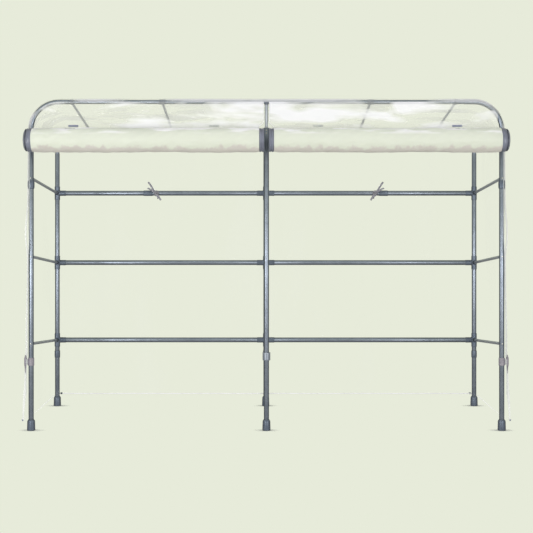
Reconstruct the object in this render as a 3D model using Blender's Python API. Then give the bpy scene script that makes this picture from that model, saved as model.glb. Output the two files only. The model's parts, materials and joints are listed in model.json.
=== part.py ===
"""A lean-to plant shelter: a slotted tube frame under a clear film cover, with two
front curtains that roll up on tubes turned by pull cords.

Metres, +Z up. The open front faces -Y. The origin is on the floor, under the middle
of the whole object's box.
"""

import math

import bmesh
import bpy
from mathutils import Vector

# Overall sizes of the frame
POST_X = 1.243            # outer post axis from the middle
DEPTH = 0.78              # front post axis to back post axis
FRONT_TOP_Z = 1.734       # axis of the front top tube
BACK_TOP_Z = 1.615        # axis of the back top tube
BEND_RADIUS = 0.148       # centreline radius of the front hoop's corners
BACK_BEND_RADIUS = 0.112  # centreline radius of the back hoop's corners

# Tubes
FIT = 0.00035             # radial play between a tube and what holds it
SEAT = 0.0003             # gap between faces that touch
TUBE_R = 0.0135           # posts
RAIL_R = 0.0142
TOP_R = 0.0107            # top tubes
SIDE_R = 0.008            # side bars and the centre riser
RAFTER_R = 0.0065
THIN_WALL = 0.001
PLUG_IN = 0.050           # how far one tube goes into the next
CENTRE_TOP_Z = 1.597      # top of the front centre post

# Rails, and the side bars that slope down to them
RAIL_HEIGHTS = (0.392, 0.853, 1.267)
BAR_RISE = 0.065          # a side bar's front end above its rail
BAR_TIP_HALF = (0.0045, 0.009)
BAR_TIP_FLAT = 0.022
BAR_TIP_LENGTH = 0.050
BAR_PLUG = 0.062          # the solid end of a bar

# Fittings on the back posts
FITTING_R = 0.016
FITTING_HEIGHT = 0.080
FITTING_REACH = 0.052
RAIL_SOCKET_R = 0.0159
BAR_SOCKET_R = 0.0105
SOCKET_WALL = 0.0025      # left between a socket's bottom and the post's bore
BORE_PAST = 0.014         # how far a cutter runs past what it cuts

# Sleeves over the joints in the posts
COUPLER_R = 0.0163
COUPLER_HEIGHT = 0.041
FRONT_COUPLER_R = 0.0178
FRONT_COUPLER_HEIGHT = 0.044
WIDE_COUPLER_R = 0.0205
BACK_COUPLER_Z = 0.308
CENTRE_COUPLER_Z = 0.391
FRONT_COUPLER_Z = 1.298
CLAMP_Z = 0.3625

# Feet
CAP_R = 0.0215
CAP_NECK_R = 0.0192
CAP_HEIGHT = 0.057
CAP_SHOULDER = 0.006
CAP_FLOOR = 0.005

# Roof
SPLICE_X = 0.55           # the tees that also join lengths of the top tube
TEE_R = 0.0130
BACK_TEE_R = 0.0144
TEE_LENGTH = 0.018
TEE_CLEAR = 0.006         # between an outer tee and the end of the hoop's corner
RIGHT_TEE_SHIFT = 0.030   # the right outer rafter stands this much nearer the middle
SPLICE_LENGTH = 0.034
RAFTER_SOCKET_R = 0.009
RAFTER_SOCKET_REACH = 0.034
RISER_X = 0.0             # the tee that also holds up the centre post's riser

# Film
FILM_OFFSET = 0.0170      # from a tube's axis to the film's inner face
FILM_THICK = 0.001
SIDE_HEM_Z = 0.060        # clear of the foot caps
BACK_HEM_Z = 0.069
SIDE_EDGE_Y = 0.018       # the side film's free edge, behind the front post's axis
BACK_FOLD = 0.004
ROOF_SAG = 0.006
SIDE_FOLDS = ((0.06, 0.031), (0.26, 0.020), (0.45, 0.013), (0.90, 0.005), (1.03, 0.017),
              (1.24, 0.003), (1.60, 0.0))
SIDE_FOLD_REACH = 0.34

# Curtain rolls
ROLL_OFFSET = 0.088       # roll axis in front of the front posts' axis
ROLL_Z = 1.527
ROLL_R = 0.0640
ROLL_FOLDS = ((0.0022, 2, 9.0, 0.4), (0.0016, 3, -14.0, 1.9), (0.0009, 5, 23.0, 0.0))
ROLLER_R = 0.015
ROLLER_WALL = 0.0015
CURTAIN_INNER_X = 0.0385
CURTAIN_OUTER_X = 1.2185
DISC_R = 0.0620
DISC_THICK = 0.0262
SPOOL_R = 0.0615
SPOOL_BAND = 0.0247
GROOVE_R = 0.050
GROOVE_WIDTH = 0.006
SPOOL_FLANGE_R = 0.0590
SPOOL_FLANGE = 0.0123
RIM_EDGE = 0.003
AXLE_CAP_R = 0.020
AXLE_CAP_THICK = 0.004
AXLE_PLUG = 0.035

# Pull cords and their cleats
CORD_R = 0.0015
CORD_PITCH = 0.004
CLEAT_OUT = 0.029         # the horn's axis, outward from the post's axis
STEM_START = 0.014
STEM_HALF = (0.007, 0.014)
CORD_PLAY = 0.0006
HORN_HALF = (0.0045, 0.006)
HORN_TIP_HALF = (0.001, 0.0015)
HORN_UP = 0.0365
HORN_DOWN = 0.0625
HORN_STRAIGHT = 0.016

# Facets
SIDES = 12
DISC_SIDES = 28
CORNER_STEPS = 6
BACK_TURN_STEPS = 4
CORD_STEP = 0.026

# Places worked out from the sizes
ROLL_REACH = ROLL_R + sum(fold[0] for fold in ROLL_FOLDS)
FRONT_REACH = ROLL_OFFSET + ROLL_REACH
BACK_REACH = FILM_OFFSET + FILM_THICK + BACK_FOLD
FRONT_Y = (FRONT_REACH - BACK_REACH - DEPTH) / 2
BACK_Y = FRONT_Y + DEPTH
ROLL_Y = FRONT_Y - ROLL_OFFSET
HOOP_DROP = FRONT_TOP_Z - BACK_TOP_Z
BEND_X = POST_X - BEND_RADIUS
BEND_R = TOP_R + FIT + THIN_WALL
OUTER_TEE_X = BEND_X - PLUG_IN - TEE_CLEAR - TEE_LENGTH / 2
RAFTER_XS = (-OUTER_TEE_X, -SPLICE_X, RISER_X, SPLICE_X, OUTER_TEE_X - RIGHT_TEE_SHIFT)
POST_BORE_R = BEND_R + FIT
POST_HOLE_R = TUBE_R + FIT
SPOOL_X = CURTAIN_OUTER_X + SEAT
SPOOL_END_X = SPOOL_X + SPOOL_BAND + GROOVE_WIDTH + SPOOL_FLANGE
DISC_X = CURTAIN_INNER_X - SEAT
X_AXIS = Vector((1, 0, 0))
Y_AXIS = Vector((0, 1, 0))
Z_AXIS = Vector((0, 0, 1))


def clear_scene():
    for obj in list(bpy.data.objects):
        bpy.data.objects.remove(obj, do_unlink=True)


def material(name, colour, roughness, metallic=0.0):
    made = bpy.data.materials.get(name)
    if made is None:
        made = bpy.data.materials.new(name)
        made.use_nodes = True
        shader = made.node_tree.nodes["Principled BSDF"]
        shader.inputs["Base Color"].default_value = (*colour, 1.0)
        shader.inputs["Roughness"].default_value = roughness
        shader.inputs["Metallic"].default_value = metallic
    return made


def powder_coat():
    return material("powder_coated_steel", (0.16, 0.18, 0.21), 0.45, 0.3)


def moulded_plastic():
    return material("moulded_plastic", (0.15, 0.16, 0.19), 0.5)


def clear_film():
    return material("clear_film", (0.86, 0.89, 0.82), 0.2)


def webbing():
    return material("webbing", (0.25, 0.26, 0.30), 0.8)


def finish(name, bm, surface):
    """Turns the mesh's faces outward and makes it a named object."""
    bmesh.ops.recalc_face_normals(bm, faces=bm.faces[:])
    mesh = bpy.data.meshes.new(name)
    bm.to_mesh(mesh)
    bm.free()
    mesh.shade_smooth()
    mesh.set_sharp_from_angle(angle=math.radians(35))
    mesh.materials.append(surface)
    obj = bpy.data.objects.new(name, mesh)
    bpy.context.scene.collection.objects.link(obj)
    return obj


def boolean(obj, operation, tool):
    """Joins or cuts obj with tool, which is left out of the model."""
    tool.hide_render = True
    tool.display_type = "WIRE"
    step = obj.modifiers.new(tool.name, "BOOLEAN")
    step.operation = operation
    step.solver = "EXACT"
    step.object = tool


def pivot(name, place):
    """An empty on a joint's axis, which the moving pieces hang from."""
    empty = bpy.data.objects.new(name, None)
    empty.location = place
    bpy.context.scene.collection.objects.link(empty)
    return empty


def hang(obj, parent):
    """Parents obj to an empty and leaves it where it is."""
    obj.parent = parent
    obj.matrix_parent_inverse.identity()
    obj.location = -parent.location


def ring(centre, along, side, half_side, half_up, sides=SIDES):
    """Points round centre, square to along, with a flat facing along the side vector."""
    up = along.cross(side).normalized()
    turn = math.pi / sides
    return [
        centre
        + side * (half_side * math.cos(turn + 2 * math.pi * i / sides))
        + up * (half_up * math.sin(turn + 2 * math.pi * i / sides))
        for i in range(sides)
    ]


def skin(bm, rings, looped):
    """Joins rings of points in turn, and closes the ends, or the last ring to the first."""
    rows = [[bm.verts.new(point) for point in points] for points in rings]
    count = len(rows[0])
    pairs = list(zip(rows, rows[1:]))
    if looped:
        pairs.append((rows[-1], rows[0]))
    else:
        bm.faces.new(rows[0])
        bm.faces.new(rows[-1])
    for first, second in pairs:
        for i in range(count):
            j = (i + 1) % count
            bm.faces.new((first[i], first[j], second[j], second[i]))


def rod(bm, start, end, side, radius, sides=SIDES):
    """A solid round bar."""
    start = Vector(start)
    end = Vector(end)
    along = (end - start).normalized()
    skin(bm, [ring(p, along, side, radius, radius, sides) for p in (start, end)], False)


def tube(bm, path, side, outer, inner):
    """A hollow round tube along a flat path, square to the side vector."""
    path = [Vector(point) for point in path]
    last = len(path) - 1
    ways = []
    for i in range(last + 1):
        before = path[max(i - 1, 0)]
        after = path[min(i + 1, last)]
        ways.append((after - before).normalized())
    outside = [ring(p, way, side, outer, outer) for p, way in zip(path, ways)]
    inside = [ring(p, way, side, inner, inner) for p, way in zip(path, ways)]
    skin(bm, outside + inside[::-1], True)


def turned(bm, base, along, side, profile, looped, sides=SIDES):
    """A turned shape: profile holds (distance along the axis, radius)."""
    base = Vector(base)
    rings = [ring(base + along * s, along, side, r, r, sides) for s, r in profile]
    skin(bm, rings, looped)


def sheet(bm, outer, inner):
    """A thin closed sheet between two grids of points."""
    faces = []
    for grid in (outer, inner):
        faces.append([[bm.verts.new(point) for point in row] for row in grid])
    rows = len(outer)
    columns = len(outer[0])
    for grid in faces:
        for i in range(rows - 1):
            for j in range(columns - 1):
                bm.faces.new((grid[i][j], grid[i][j + 1], grid[i + 1][j + 1], grid[i + 1][j]))
    rim = [(0, j) for j in range(columns)]
    rim += [(i, columns - 1) for i in range(1, rows)]
    rim += [(rows - 1, j) for j in range(columns - 2, -1, -1)]
    rim += [(i, 0) for i in range(rows - 2, 0, -1)]
    for (i, j), (k, m) in zip(rim, rim[1:] + rim[:1]):
        bm.faces.new((faces[0][i][j], faces[0][k][m], faces[1][k][m], faces[1][i][j]))


def straight_tube(name, start, end, side, outer, inner):
    bm = bmesh.new()
    tube(bm, (start, end), side, outer, inner)
    return finish(name, bm, powder_coat())


def bar_heights():
    return [z + BAR_RISE for z in RAIL_HEIGHTS]


def post(name, x, y, top, coupler_z, coupler_r, coupler_height=COUPLER_HEIGHT):
    """An upright tube, swelled where a coupler joins two lengths of it."""
    foot = CAP_FLOOR + SEAT
    low = coupler_z - coupler_height / 2 - foot
    high = coupler_z + coupler_height / 2 - foot
    profile = [(0.0, TUBE_R), (low, TUBE_R), (low, coupler_r), (high, coupler_r),
               (high, TUBE_R), (top - foot, TUBE_R), (top - foot, POST_BORE_R),
               (0.0, POST_BORE_R)]
    bm = bmesh.new()
    turned(bm, (x, y, foot), Z_AXIS, Y_AXIS, profile, True)
    finish(name, bm, powder_coat())


def posts():
    outer_top = FRONT_TOP_Z - BEND_RADIUS
    back_top = BACK_TOP_Z - BACK_BEND_RADIUS
    for x, hand in ((-POST_X, "left"), (POST_X, "right")):
        post("front_" + hand + "_post", x, FRONT_Y, outer_top, FRONT_COUPLER_Z, FRONT_COUPLER_R,
             FRONT_COUPLER_HEIGHT)
        post("back_" + hand + "_post", x, BACK_Y, back_top, BACK_COUPLER_Z, COUPLER_R)
    post("front_centre_post", 0.0, FRONT_Y, CENTRE_TOP_Z, CENTRE_COUPLER_Z, WIDE_COUPLER_R)
    back_top = BACK_TOP_Z - BACK_TEE_R - SEAT
    post("back_centre_post", 0.0, BACK_Y, back_top, BACK_COUPLER_Z, COUPLER_R)


def foot_caps():
    """Cups under the posts, with a broad flat base."""
    hole = POST_HOLE_R
    profile = ((0.0, CAP_R - CAP_FLOOR / 2), (CAP_FLOOR / 2, CAP_R),
               (CAP_HEIGHT - CAP_SHOULDER, CAP_NECK_R), (CAP_HEIGHT, hole + THIN_WALL),
               (CAP_HEIGHT, hole), (CAP_FLOOR, hole))
    for y, row in ((FRONT_Y, "front"), (BACK_Y, "back")):
        for x, hand in ((-POST_X, "left"), (0.0, "centre"), (POST_X, "right")):
            bm = bmesh.new()
            turned(bm, (x, y, 0.0), Z_AXIS, Y_AXIS, profile, False)
            finish(row + "_" + hand + "_foot_cap", bm, moulded_plastic())


def corner(side, top, radius):
    """Points along a hoop corner's centreline, from the post to the top tube."""
    angles = [math.pi / 2 * i / CORNER_STEPS for i in range(CORNER_STEPS + 1)]
    return [
        (side * (POST_X - radius + radius * math.cos(a)), top - radius + radius * math.sin(a))
        for a in angles
    ]


def bend(side, y, top, radius):
    """Points along a hoop's corner and the part of it inside the post, from the bottom."""
    arc = corner(side, top, radius)
    return [Vector((side * POST_X, y, arc[0][1] - PLUG_IN))] + [Vector((x, y, z)) for x, z in arc]


def bent_tube(name, path):
    bm = bmesh.new()
    tube(bm, path, Y_AXIS, BEND_R, TOP_R + FIT)
    finish(name, bm, powder_coat())


def hoops():
    reach = BEND_X - SEAT
    straight_tube("front_top_tube", (-reach, FRONT_Y, FRONT_TOP_Z), (reach, FRONT_Y, FRONT_TOP_Z),
                  Y_AXIS, TOP_R, TOP_R - THIN_WALL)
    for side, hand in ((-1, "left"), (1, "right")):
        end = Vector((side * (BEND_X - PLUG_IN), FRONT_Y, FRONT_TOP_Z))
        path = bend(side, FRONT_Y, FRONT_TOP_Z, BEND_RADIUS) + [end]
        bent_tube("front_" + hand + "_bend", path)
    near_half = bend(-1, BACK_Y, BACK_TOP_Z, BACK_BEND_RADIUS)
    far_half = bend(1, BACK_Y, BACK_TOP_Z, BACK_BEND_RADIUS)
    bent_tube("back_hoop", near_half + far_half[::-1])


def rails():
    reach = POST_HOLE_R + SOCKET_WALL + SEAT
    for level, z in zip(("bottom", "middle", "top"), RAIL_HEIGHTS):
        for side, hand in ((-1, "left"), (1, "right")):
            start = (side * reach, BACK_Y, z)
            end = (side * (POST_X - reach), BACK_Y, z)
            straight_tube("back_rail_" + level + "_" + hand, start, end, Y_AXIS, RAIL_R,
                          RAIL_R - THIN_WALL)


def bar_way():
    """Unit vector along a side bar, from the front post to the back one."""
    return Vector((0.0, DEPTH, -BAR_RISE)).normalized()


def spoke(name, centre, way, start, end, radius):
    """A round bar out from a fitting's centre: one of its arms, or the hole in it."""
    side = Y_AXIS if abs(way.x) > 0.5 else X_AXIS
    bm = bmesh.new()
    rod(bm, centre + way * start, centre + way * end, side, radius)
    return finish(name, bm, moulded_plastic())


def fitting(name, x, z):
    """A cross piece on a back post, with sockets for the rails and a side bar."""
    centre = Vector((x, BACK_Y, z))
    arms = [(X_AXIS * s, RAIL_SOCKET_R, RAIL_R + FIT) for s in (-1, 1) if s * x <= 0.0]
    if x != 0.0:
        arms.append((-bar_way(), BAR_SOCKET_R, SIDE_R + FIT))
    half = Z_AXIS * (FITTING_HEIGHT / 2)
    bottom = POST_HOLE_R + SOCKET_WALL
    past = FITTING_REACH + BORE_PAST
    bm = bmesh.new()
    rod(bm, centre - half, centre + half, Y_AXIS, FITTING_R)
    body = finish(name, bm, moulded_plastic())
    for i, (way, outer, _) in enumerate(arms):
        arm = spoke(name + "_arm_" + str(i), centre, way, 0.0, FITTING_REACH, outer)
        boolean(body, "UNION", arm)
    for i, (way, _, hole) in enumerate(arms):
        bore = spoke(name + "_bore_" + str(i), centre, way, bottom, past, hole)
        boolean(body, "DIFFERENCE", bore)
    bm = bmesh.new()
    rod(bm, centre - 2 * half, centre + 2 * half, Y_AXIS, POST_HOLE_R)
    boolean(body, "DIFFERENCE", finish(name + "_post_bore", bm, moulded_plastic()))


def fittings():
    for x, hand in ((-POST_X, "left"), (0.0, "centre"), (POST_X, "right")):
        for z, level in zip(RAIL_HEIGHTS, ("bottom", "middle", "top")):
            fitting("fitting_" + hand + "_" + level, x, z)


def side_bars():
    """Sloping side bars: round tubes whose front ends are pressed flat for a screw."""
    way = bar_way()
    tip_y = FRONT_Y + TUBE_R + SEAT + BAR_TIP_HALF[1] * abs(way.z)
    back_reach = POST_HOLE_R + SOCKET_WALL + SEAT
    length = (DEPTH - (tip_y - FRONT_Y)) / way.y - back_reach
    bore = SIDE_R - THIN_WALL
    shape = ((0.0, *BAR_TIP_HALF), (BAR_TIP_FLAT, *BAR_TIP_HALF), (BAR_TIP_LENGTH, SIDE_R, SIDE_R),
             (length, SIDE_R, SIDE_R), (length, bore, bore), (BAR_PLUG, bore, bore))
    for side, hand in ((-1, "left"), (1, "right")):
        for level, z in zip(("bottom", "middle", "top"), bar_heights()):
            tip = Vector((side * POST_X, tip_y, z + way.z / way.y * (tip_y - FRONT_Y)))
            rings = [ring(tip + way * s, way, X_AXIS, a, b) for s, a, b in shape]
            bm = bmesh.new()
            skin(bm, rings, False)
            finish(hand + "_bar_" + level, bm, powder_coat())


def rafter_way():
    return Vector((0.0, DEPTH, -HOOP_DROP)).normalized()


def rafter(name, x):
    """A roof rafter with the tees that hold it on the two top tubes."""
    way = rafter_way()
    span = math.hypot(DEPTH, HOOP_DROP)
    front = Vector((x, FRONT_Y, FRONT_TOP_Z))
    back = Vector((x, BACK_Y, BACK_TOP_Z))
    half = X_AXIS * (SPLICE_LENGTH if abs(x) == SPLICE_X else TEE_LENGTH) / 2
    bm = bmesh.new()
    rod(bm, front - half, front + half, Y_AXIS, TEE_R)
    rod(bm, back - half, back + half, Y_AXIS, BACK_TEE_R)
    body = finish(name, bm, powder_coat())
    reach = RAFTER_SOCKET_REACH
    profile = ((0.0, RAFTER_SOCKET_R), (reach, RAFTER_SOCKET_R), (reach, RAFTER_R),
               (span - reach, RAFTER_R), (span - reach, RAFTER_SOCKET_R), (span, RAFTER_SOCKET_R))
    bm = bmesh.new()
    turned(bm, front, way, X_AXIS, profile, False)
    boolean(body, "UNION", finish(name + "_bar", bm, powder_coat()))
    if x == RISER_X:
        boolean(body, "UNION", centre_riser())
    bm = bmesh.new()
    rod(bm, front - 2 * half, front + 2 * half, Y_AXIS, TOP_R + FIT)
    rod(bm, back - 2 * half, back + 2 * half, Y_AXIS, BEND_R + FIT)
    boolean(body, "DIFFERENCE", finish(name + "_tube_bores", bm, powder_coat()))
    bm = bmesh.new()
    rod(bm, front, back, X_AXIS, RAFTER_R - THIN_WALL)
    boolean(body, "DIFFERENCE", finish(name + "_bore", bm, powder_coat()))


def centre_riser():
    """The thin bar from the front centre post up to the middle tee, with a swelled foot."""
    low = CENTRE_TOP_Z - PLUG_IN
    swell = PLUG_IN - SEAT
    profile = ((0.0, BEND_R), (swell, BEND_R), (swell + BEND_R - SIDE_R, SIDE_R),
               (FRONT_TOP_Z - low, SIDE_R))
    bm = bmesh.new()
    turned(bm, (RISER_X, FRONT_Y, low), Z_AXIS, Y_AXIS, profile, False)
    return finish("centre_riser", bm, powder_coat())


def rafters():
    names = ("left_outer", "left", "centre", "right", "right_outer")
    for x, name in zip(RAFTER_XS, names):
        rafter("rafter_" + name, x)


def cleat_clamps():
    """Clamps on the front posts, each with a horn cleat for a pull cord."""
    for side, hand in ((-1, "left"), (1, "right")):
        x = side * POST_X
        bm = bmesh.new()
        low = (x, FRONT_Y, CLAMP_Z - COUPLER_HEIGHT / 2)
        rod(bm, low, (x, FRONT_Y, CLAMP_Z + COUPLER_HEIGHT / 2), Y_AXIS, COUPLER_R)
        clamp = finish(hand + "_cleat_clamp", bm, moulded_plastic())
        bm = bmesh.new()
        ends = [Vector((x + side * u, FRONT_Y, CLAMP_Z)) for u in (STEM_START, CLEAT_OUT)]
        skin(bm, [ring(p, X_AXIS, Y_AXIS, *STEM_HALF) for p in ends], False)
        boolean(clamp, "UNION", finish(hand + "_cleat_stem", bm, moulded_plastic()))
        bm = bmesh.new()
        horn = ((-HORN_DOWN, HORN_TIP_HALF), (-HORN_STRAIGHT, HORN_HALF),
                (HORN_STRAIGHT, HORN_HALF), (HORN_UP, HORN_TIP_HALF))
        middle = Vector((x + side * CLEAT_OUT, FRONT_Y, CLAMP_Z))
        skin(bm, [ring(middle + Z_AXIS * s, Z_AXIS, X_AXIS, *half, 12) for s, half in horn], False)
        boolean(clamp, "UNION", finish(hand + "_cleat_horn", bm, moulded_plastic()))
        bm = bmesh.new()
        low = (x, FRONT_Y, CLAMP_Z - COUPLER_HEIGHT)
        rod(bm, low, (x, FRONT_Y, CLAMP_Z + COUPLER_HEIGHT), Y_AXIS, POST_HOLE_R)
        boolean(clamp, "DIFFERENCE", finish(hand + "_clamp_bore", bm, moulded_plastic()))


def hoop_line(radius):
    """(x, height from the top tube's axis, outward normal) along half a turn of hoop."""
    points = corner(-1, 0.0, radius)
    straight = POST_X - radius
    flat = 10
    for i in range(1, flat):
        points.append((-straight + 2 * straight * i / flat, 0.0))
    points += corner(1, 0.0, radius)[::-1]
    line = []
    for x, drop in points:
        over = max(abs(x) - straight, 0.0) / radius
        lean = math.asin(min(over, 1.0)) * (1 if x > 0 else -1)
        line.append((x, drop, Vector((math.sin(lean), 0.0, math.cos(lean)))))
    return line


def roof_film():
    """The roof: it wraps over the front top tube, sags between the rafters, and wraps down."""
    across = 4
    outer, inner = [], []
    lines = zip(hoop_line(BEND_RADIUS), hoop_line(BACK_BEND_RADIUS))
    for (x, drop, normal), (back_x, back_drop, _) in lines:
        front = Vector((x, FRONT_Y, FRONT_TOP_Z + drop))
        back = Vector((back_x, BACK_Y, BACK_TOP_Z + back_drop))
        between = [abs(x - beam) for beam in RAFTER_XS]
        sag = ROOF_SAG * min(min(between) / (SPLICE_X / 2), 1.0) * (1 if drop == 0.0 else 0)
        section = []
        for turn in (0.0, math.pi / 4):
            section.append((front, -Y_AXIS * math.cos(turn) + normal * math.sin(turn), 0.0))
        for i in range(across + 1):
            share = i / across
            droop = sag * math.sin(math.pi * share)
            section.append((front.lerp(back, share), normal, droop))
        for turn in (math.pi / 4, 0.0):
            section.append((back, Y_AXIS * math.cos(turn) + normal * math.sin(turn), 0.0))
        inner.append([p + way * FILM_OFFSET - Z_AXIS * d for p, way, d in section])
        outer.append([p + way * (FILM_OFFSET + FILM_THICK) - Z_AXIS * d for p, way, d in section])
    bm = bmesh.new()
    sheet(bm, outer, inner)
    finish("roof_film", bm, clear_film())


def fold_depth(z):
    """How far the side film's free edge stands out at height z."""
    for (low, first), (high, second) in zip(SIDE_FOLDS, SIDE_FOLDS[1:]):
        if z <= high:
            share = max((z - low) / (high - low), 0.0)
            return first + (second - first) * (1 - math.cos(math.pi * share)) / 2
    return 0.0


def side_films():
    """The side walls: from behind the front post, round the back post."""
    heights = (0.0, 0.13, 0.26, 0.40, 0.55, 0.64, 0.77, 1.0)
    runs = (0.0, 0.1, 0.22, 0.45, 0.75, 1.0)
    front_top = FRONT_TOP_Z - BEND_RADIUS
    back_top = BACK_TOP_Z - BACK_BEND_RADIUS
    for side, hand in ((-1, "left"), (1, "right")):
        columns = []
        for share in runs:
            behind = SIDE_EDGE_Y + (DEPTH - SIDE_EDGE_Y) * share
            base = Vector((side * POST_X, FRONT_Y + behind, 0.0))
            top = front_top + (back_top - front_top) * behind / DEPTH
            fade = max(1 - behind / SIDE_FOLD_REACH, 0.0) ** 2
            columns.append((base, X_AXIS * side, top, fade))
        for step in range(1, BACK_TURN_STEPS + 1):
            turn = math.pi / 2 * step / BACK_TURN_STEPS
            way = X_AXIS * side * math.cos(turn) + Y_AXIS * math.sin(turn)
            columns.append((Vector((side * POST_X, BACK_Y, 0.0)), way, back_top, 0.0))
        outer, inner = [], []
        for share in heights:
            outer_row, inner_row = [], []
            for base, way, top, fade in columns:
                z = SIDE_HEM_Z + (top - SEAT - SIDE_HEM_Z) * share
                out = FILM_OFFSET + fade * fold_depth(z)
                inner_row.append(base + way * out + Z_AXIS * z)
                outer_row.append(base + way * (out + FILM_THICK) + Z_AXIS * z)
            outer.append(outer_row)
            inner.append(inner_row)
        bm = bmesh.new()
        sheet(bm, outer, inner)
        finish(hand + "_side_film", bm, clear_film())


def back_film():
    heights = (0.0, 0.12, 0.3, 0.5, 0.75, 1.0)
    line = hoop_line(BACK_BEND_RADIUS)
    outer, inner = [], []
    for share in heights:
        outer_row, inner_row = [], []
        for i, (x, drop, _) in enumerate(line):
            top = BACK_TOP_Z + drop - SEAT
            z = BACK_HEM_Z + (top - BACK_HEM_Z) * share
            edge = i in (0, len(line) - 1)
            fold = BACK_FOLD * (i % 2) * (1 - share) ** 2 * (0 if edge else 1)
            if edge:
                x = math.copysign(POST_X - SEAT, x)
            y = BACK_Y + FILM_OFFSET + fold
            inner_row.append(Vector((x, y, z)))
            outer_row.append(Vector((x, y + FILM_THICK, z)))
        outer.append(outer_row)
        inner.append(inner_row)
    bm = bmesh.new()
    sheet(bm, outer, inner)
    finish("back_film", bm, clear_film())


def curtain_edge(z):
    """The curtain's outer edge at height z: straight, then inside the hoop's corner."""
    up = z - (FRONT_TOP_Z - BEND_RADIUS)
    if up <= 0.0:
        return CURTAIN_OUTER_X
    inside = BEND_RADIUS * math.cos(math.pi / 4 / CORNER_STEPS) - SEAT
    arc = BEND_X + math.sqrt(max(inside ** 2 - up ** 2, 0.0))
    return min(CURTAIN_OUTER_X, arc)


def curtains():
    """The stretch of each curtain between the top tube and its roll."""
    top = FRONT_TOP_Z - SEAT
    heights = [ROLL_Z + (top - ROLL_Z) * s for s in (0.0, 0.3, 0.55, 0.75, 0.9, 0.97, 1.0)]
    shares = (0.0, 0.3, 0.6, 0.85, 1.0)
    for side, hand in ((-1, "left"), (1, "right")):
        outer, inner = [], []
        for z in heights:
            edge = curtain_edge(z)
            xs = [side * (CURTAIN_INNER_X + (edge - CURTAIN_INNER_X) * s) for s in shares]
            y = FRONT_Y - FILM_OFFSET
            inner.append([Vector((x, y, z)) for x in xs])
            outer.append([Vector((x, y - FILM_THICK, z)) for x in xs])
        bm = bmesh.new()
        sheet(bm, outer, inner)
        finish(hand + "_curtain", bm, clear_film())


def roll_radius(angle, x):
    folds = [depth * math.sin(waves * angle + run * x + start)
             for depth, waves, run, start in ROLL_FOLDS]
    return ROLL_R + sum(folds)


def rolls(side, hand, parent):
    """A curtain rolled up on its tube: uneven turns of film with a bore."""
    stations = 18
    sides = 20
    rings = []
    for i in range(stations + 1):
        x = CURTAIN_INNER_X + (CURTAIN_OUTER_X - CURTAIN_INNER_X) * i / stations
        points = []
        for k in range(sides):
            a = 2 * math.pi * k / sides
            r = roll_radius(a, side * x)
            points.append(Vector((side * x, ROLL_Y + r * math.cos(a), ROLL_Z + r * math.sin(a))))
        rings.append(points)
    bore = (ROLLER_R + FIT) / math.cos(math.pi / sides)
    for x in (CURTAIN_OUTER_X, CURTAIN_INNER_X):
        rings.append([
            Vector((side * x, ROLL_Y + bore * math.cos(a), ROLL_Z + bore * math.sin(a)))
            for a in (2 * math.pi * k / sides for k in range(sides))
        ])
    bm = bmesh.new()
    skin(bm, rings, True)
    hang(finish(hand + "_film_roll", bm, clear_film()), parent)


def roll_hardware(side, hand, parent):
    """The roller tube with its inner end disc, and the cord spool on its outer end."""
    along = X_AXIS * side
    axis = Vector((0.0, ROLL_Y, ROLL_Z))
    hole = ROLLER_R + FIT
    edge = DISC_R - RIM_EDGE
    middle = DISC_THICK / 2
    end = DISC_THICK + SPOOL_END_X - DISC_X
    bore = ROLLER_R - ROLLER_WALL
    profile = ((0.0, bore), (0.0, edge), (RIM_EDGE, DISC_R), (middle - RIM_EDGE / 2, DISC_R),
               (middle, DISC_R - RIM_EDGE / 2), (middle + RIM_EDGE / 2, DISC_R),
               (DISC_THICK - RIM_EDGE, DISC_R), (DISC_THICK, edge), (DISC_THICK, ROLLER_R),
               (end, ROLLER_R), (end, bore))
    start = axis + along * (DISC_X - DISC_THICK)
    bm = bmesh.new()
    turned(bm, start, along, Y_AXIS, profile, True, DISC_SIDES)
    hang(finish(hand + "_roller", bm, moulded_plastic()), parent)

    band_end = SPOOL_BAND
    groove_end = band_end + GROOVE_WIDTH
    end = groove_end + SPOOL_FLANGE
    profile = ((0.0, hole), (0.0, SPOOL_R - RIM_EDGE), (RIM_EDGE / 2, SPOOL_R),
               (band_end - RIM_EDGE / 2, SPOOL_R), (band_end, SPOOL_R - RIM_EDGE / 2),
               (band_end, GROOVE_R), (groove_end, GROOVE_R), (groove_end, SPOOL_FLANGE_R),
               (end - RIM_EDGE, SPOOL_FLANGE_R), (end, SPOOL_FLANGE_R - 2 * RIM_EDGE), (end, hole))
    bm = bmesh.new()
    turned(bm, axis + along * SPOOL_X, along, Y_AXIS, profile, True, DISC_SIDES)
    hang(finish(hand + "_cord_spool", bm, moulded_plastic()), parent)


def axle_cap(side, hand, parent):
    """The cap that carries the roll: its plug turns in the roller's outer end."""
    plug_r = ROLLER_R - ROLLER_WALL - FIT
    profile = ((0.0, plug_r), (AXLE_PLUG, plug_r), (AXLE_PLUG, AXLE_CAP_R),
               (AXLE_PLUG + AXLE_CAP_THICK, AXLE_CAP_R))
    base = Vector((side * (SPOOL_END_X + SEAT - AXLE_PLUG), ROLL_Y, ROLL_Z))
    bm = bmesh.new()
    turned(bm, base, X_AXIS * side, Y_AXIS, profile, False, DISC_SIDES)
    hang(finish(hand + "_axle_cap", bm, moulded_plastic()), parent)


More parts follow.
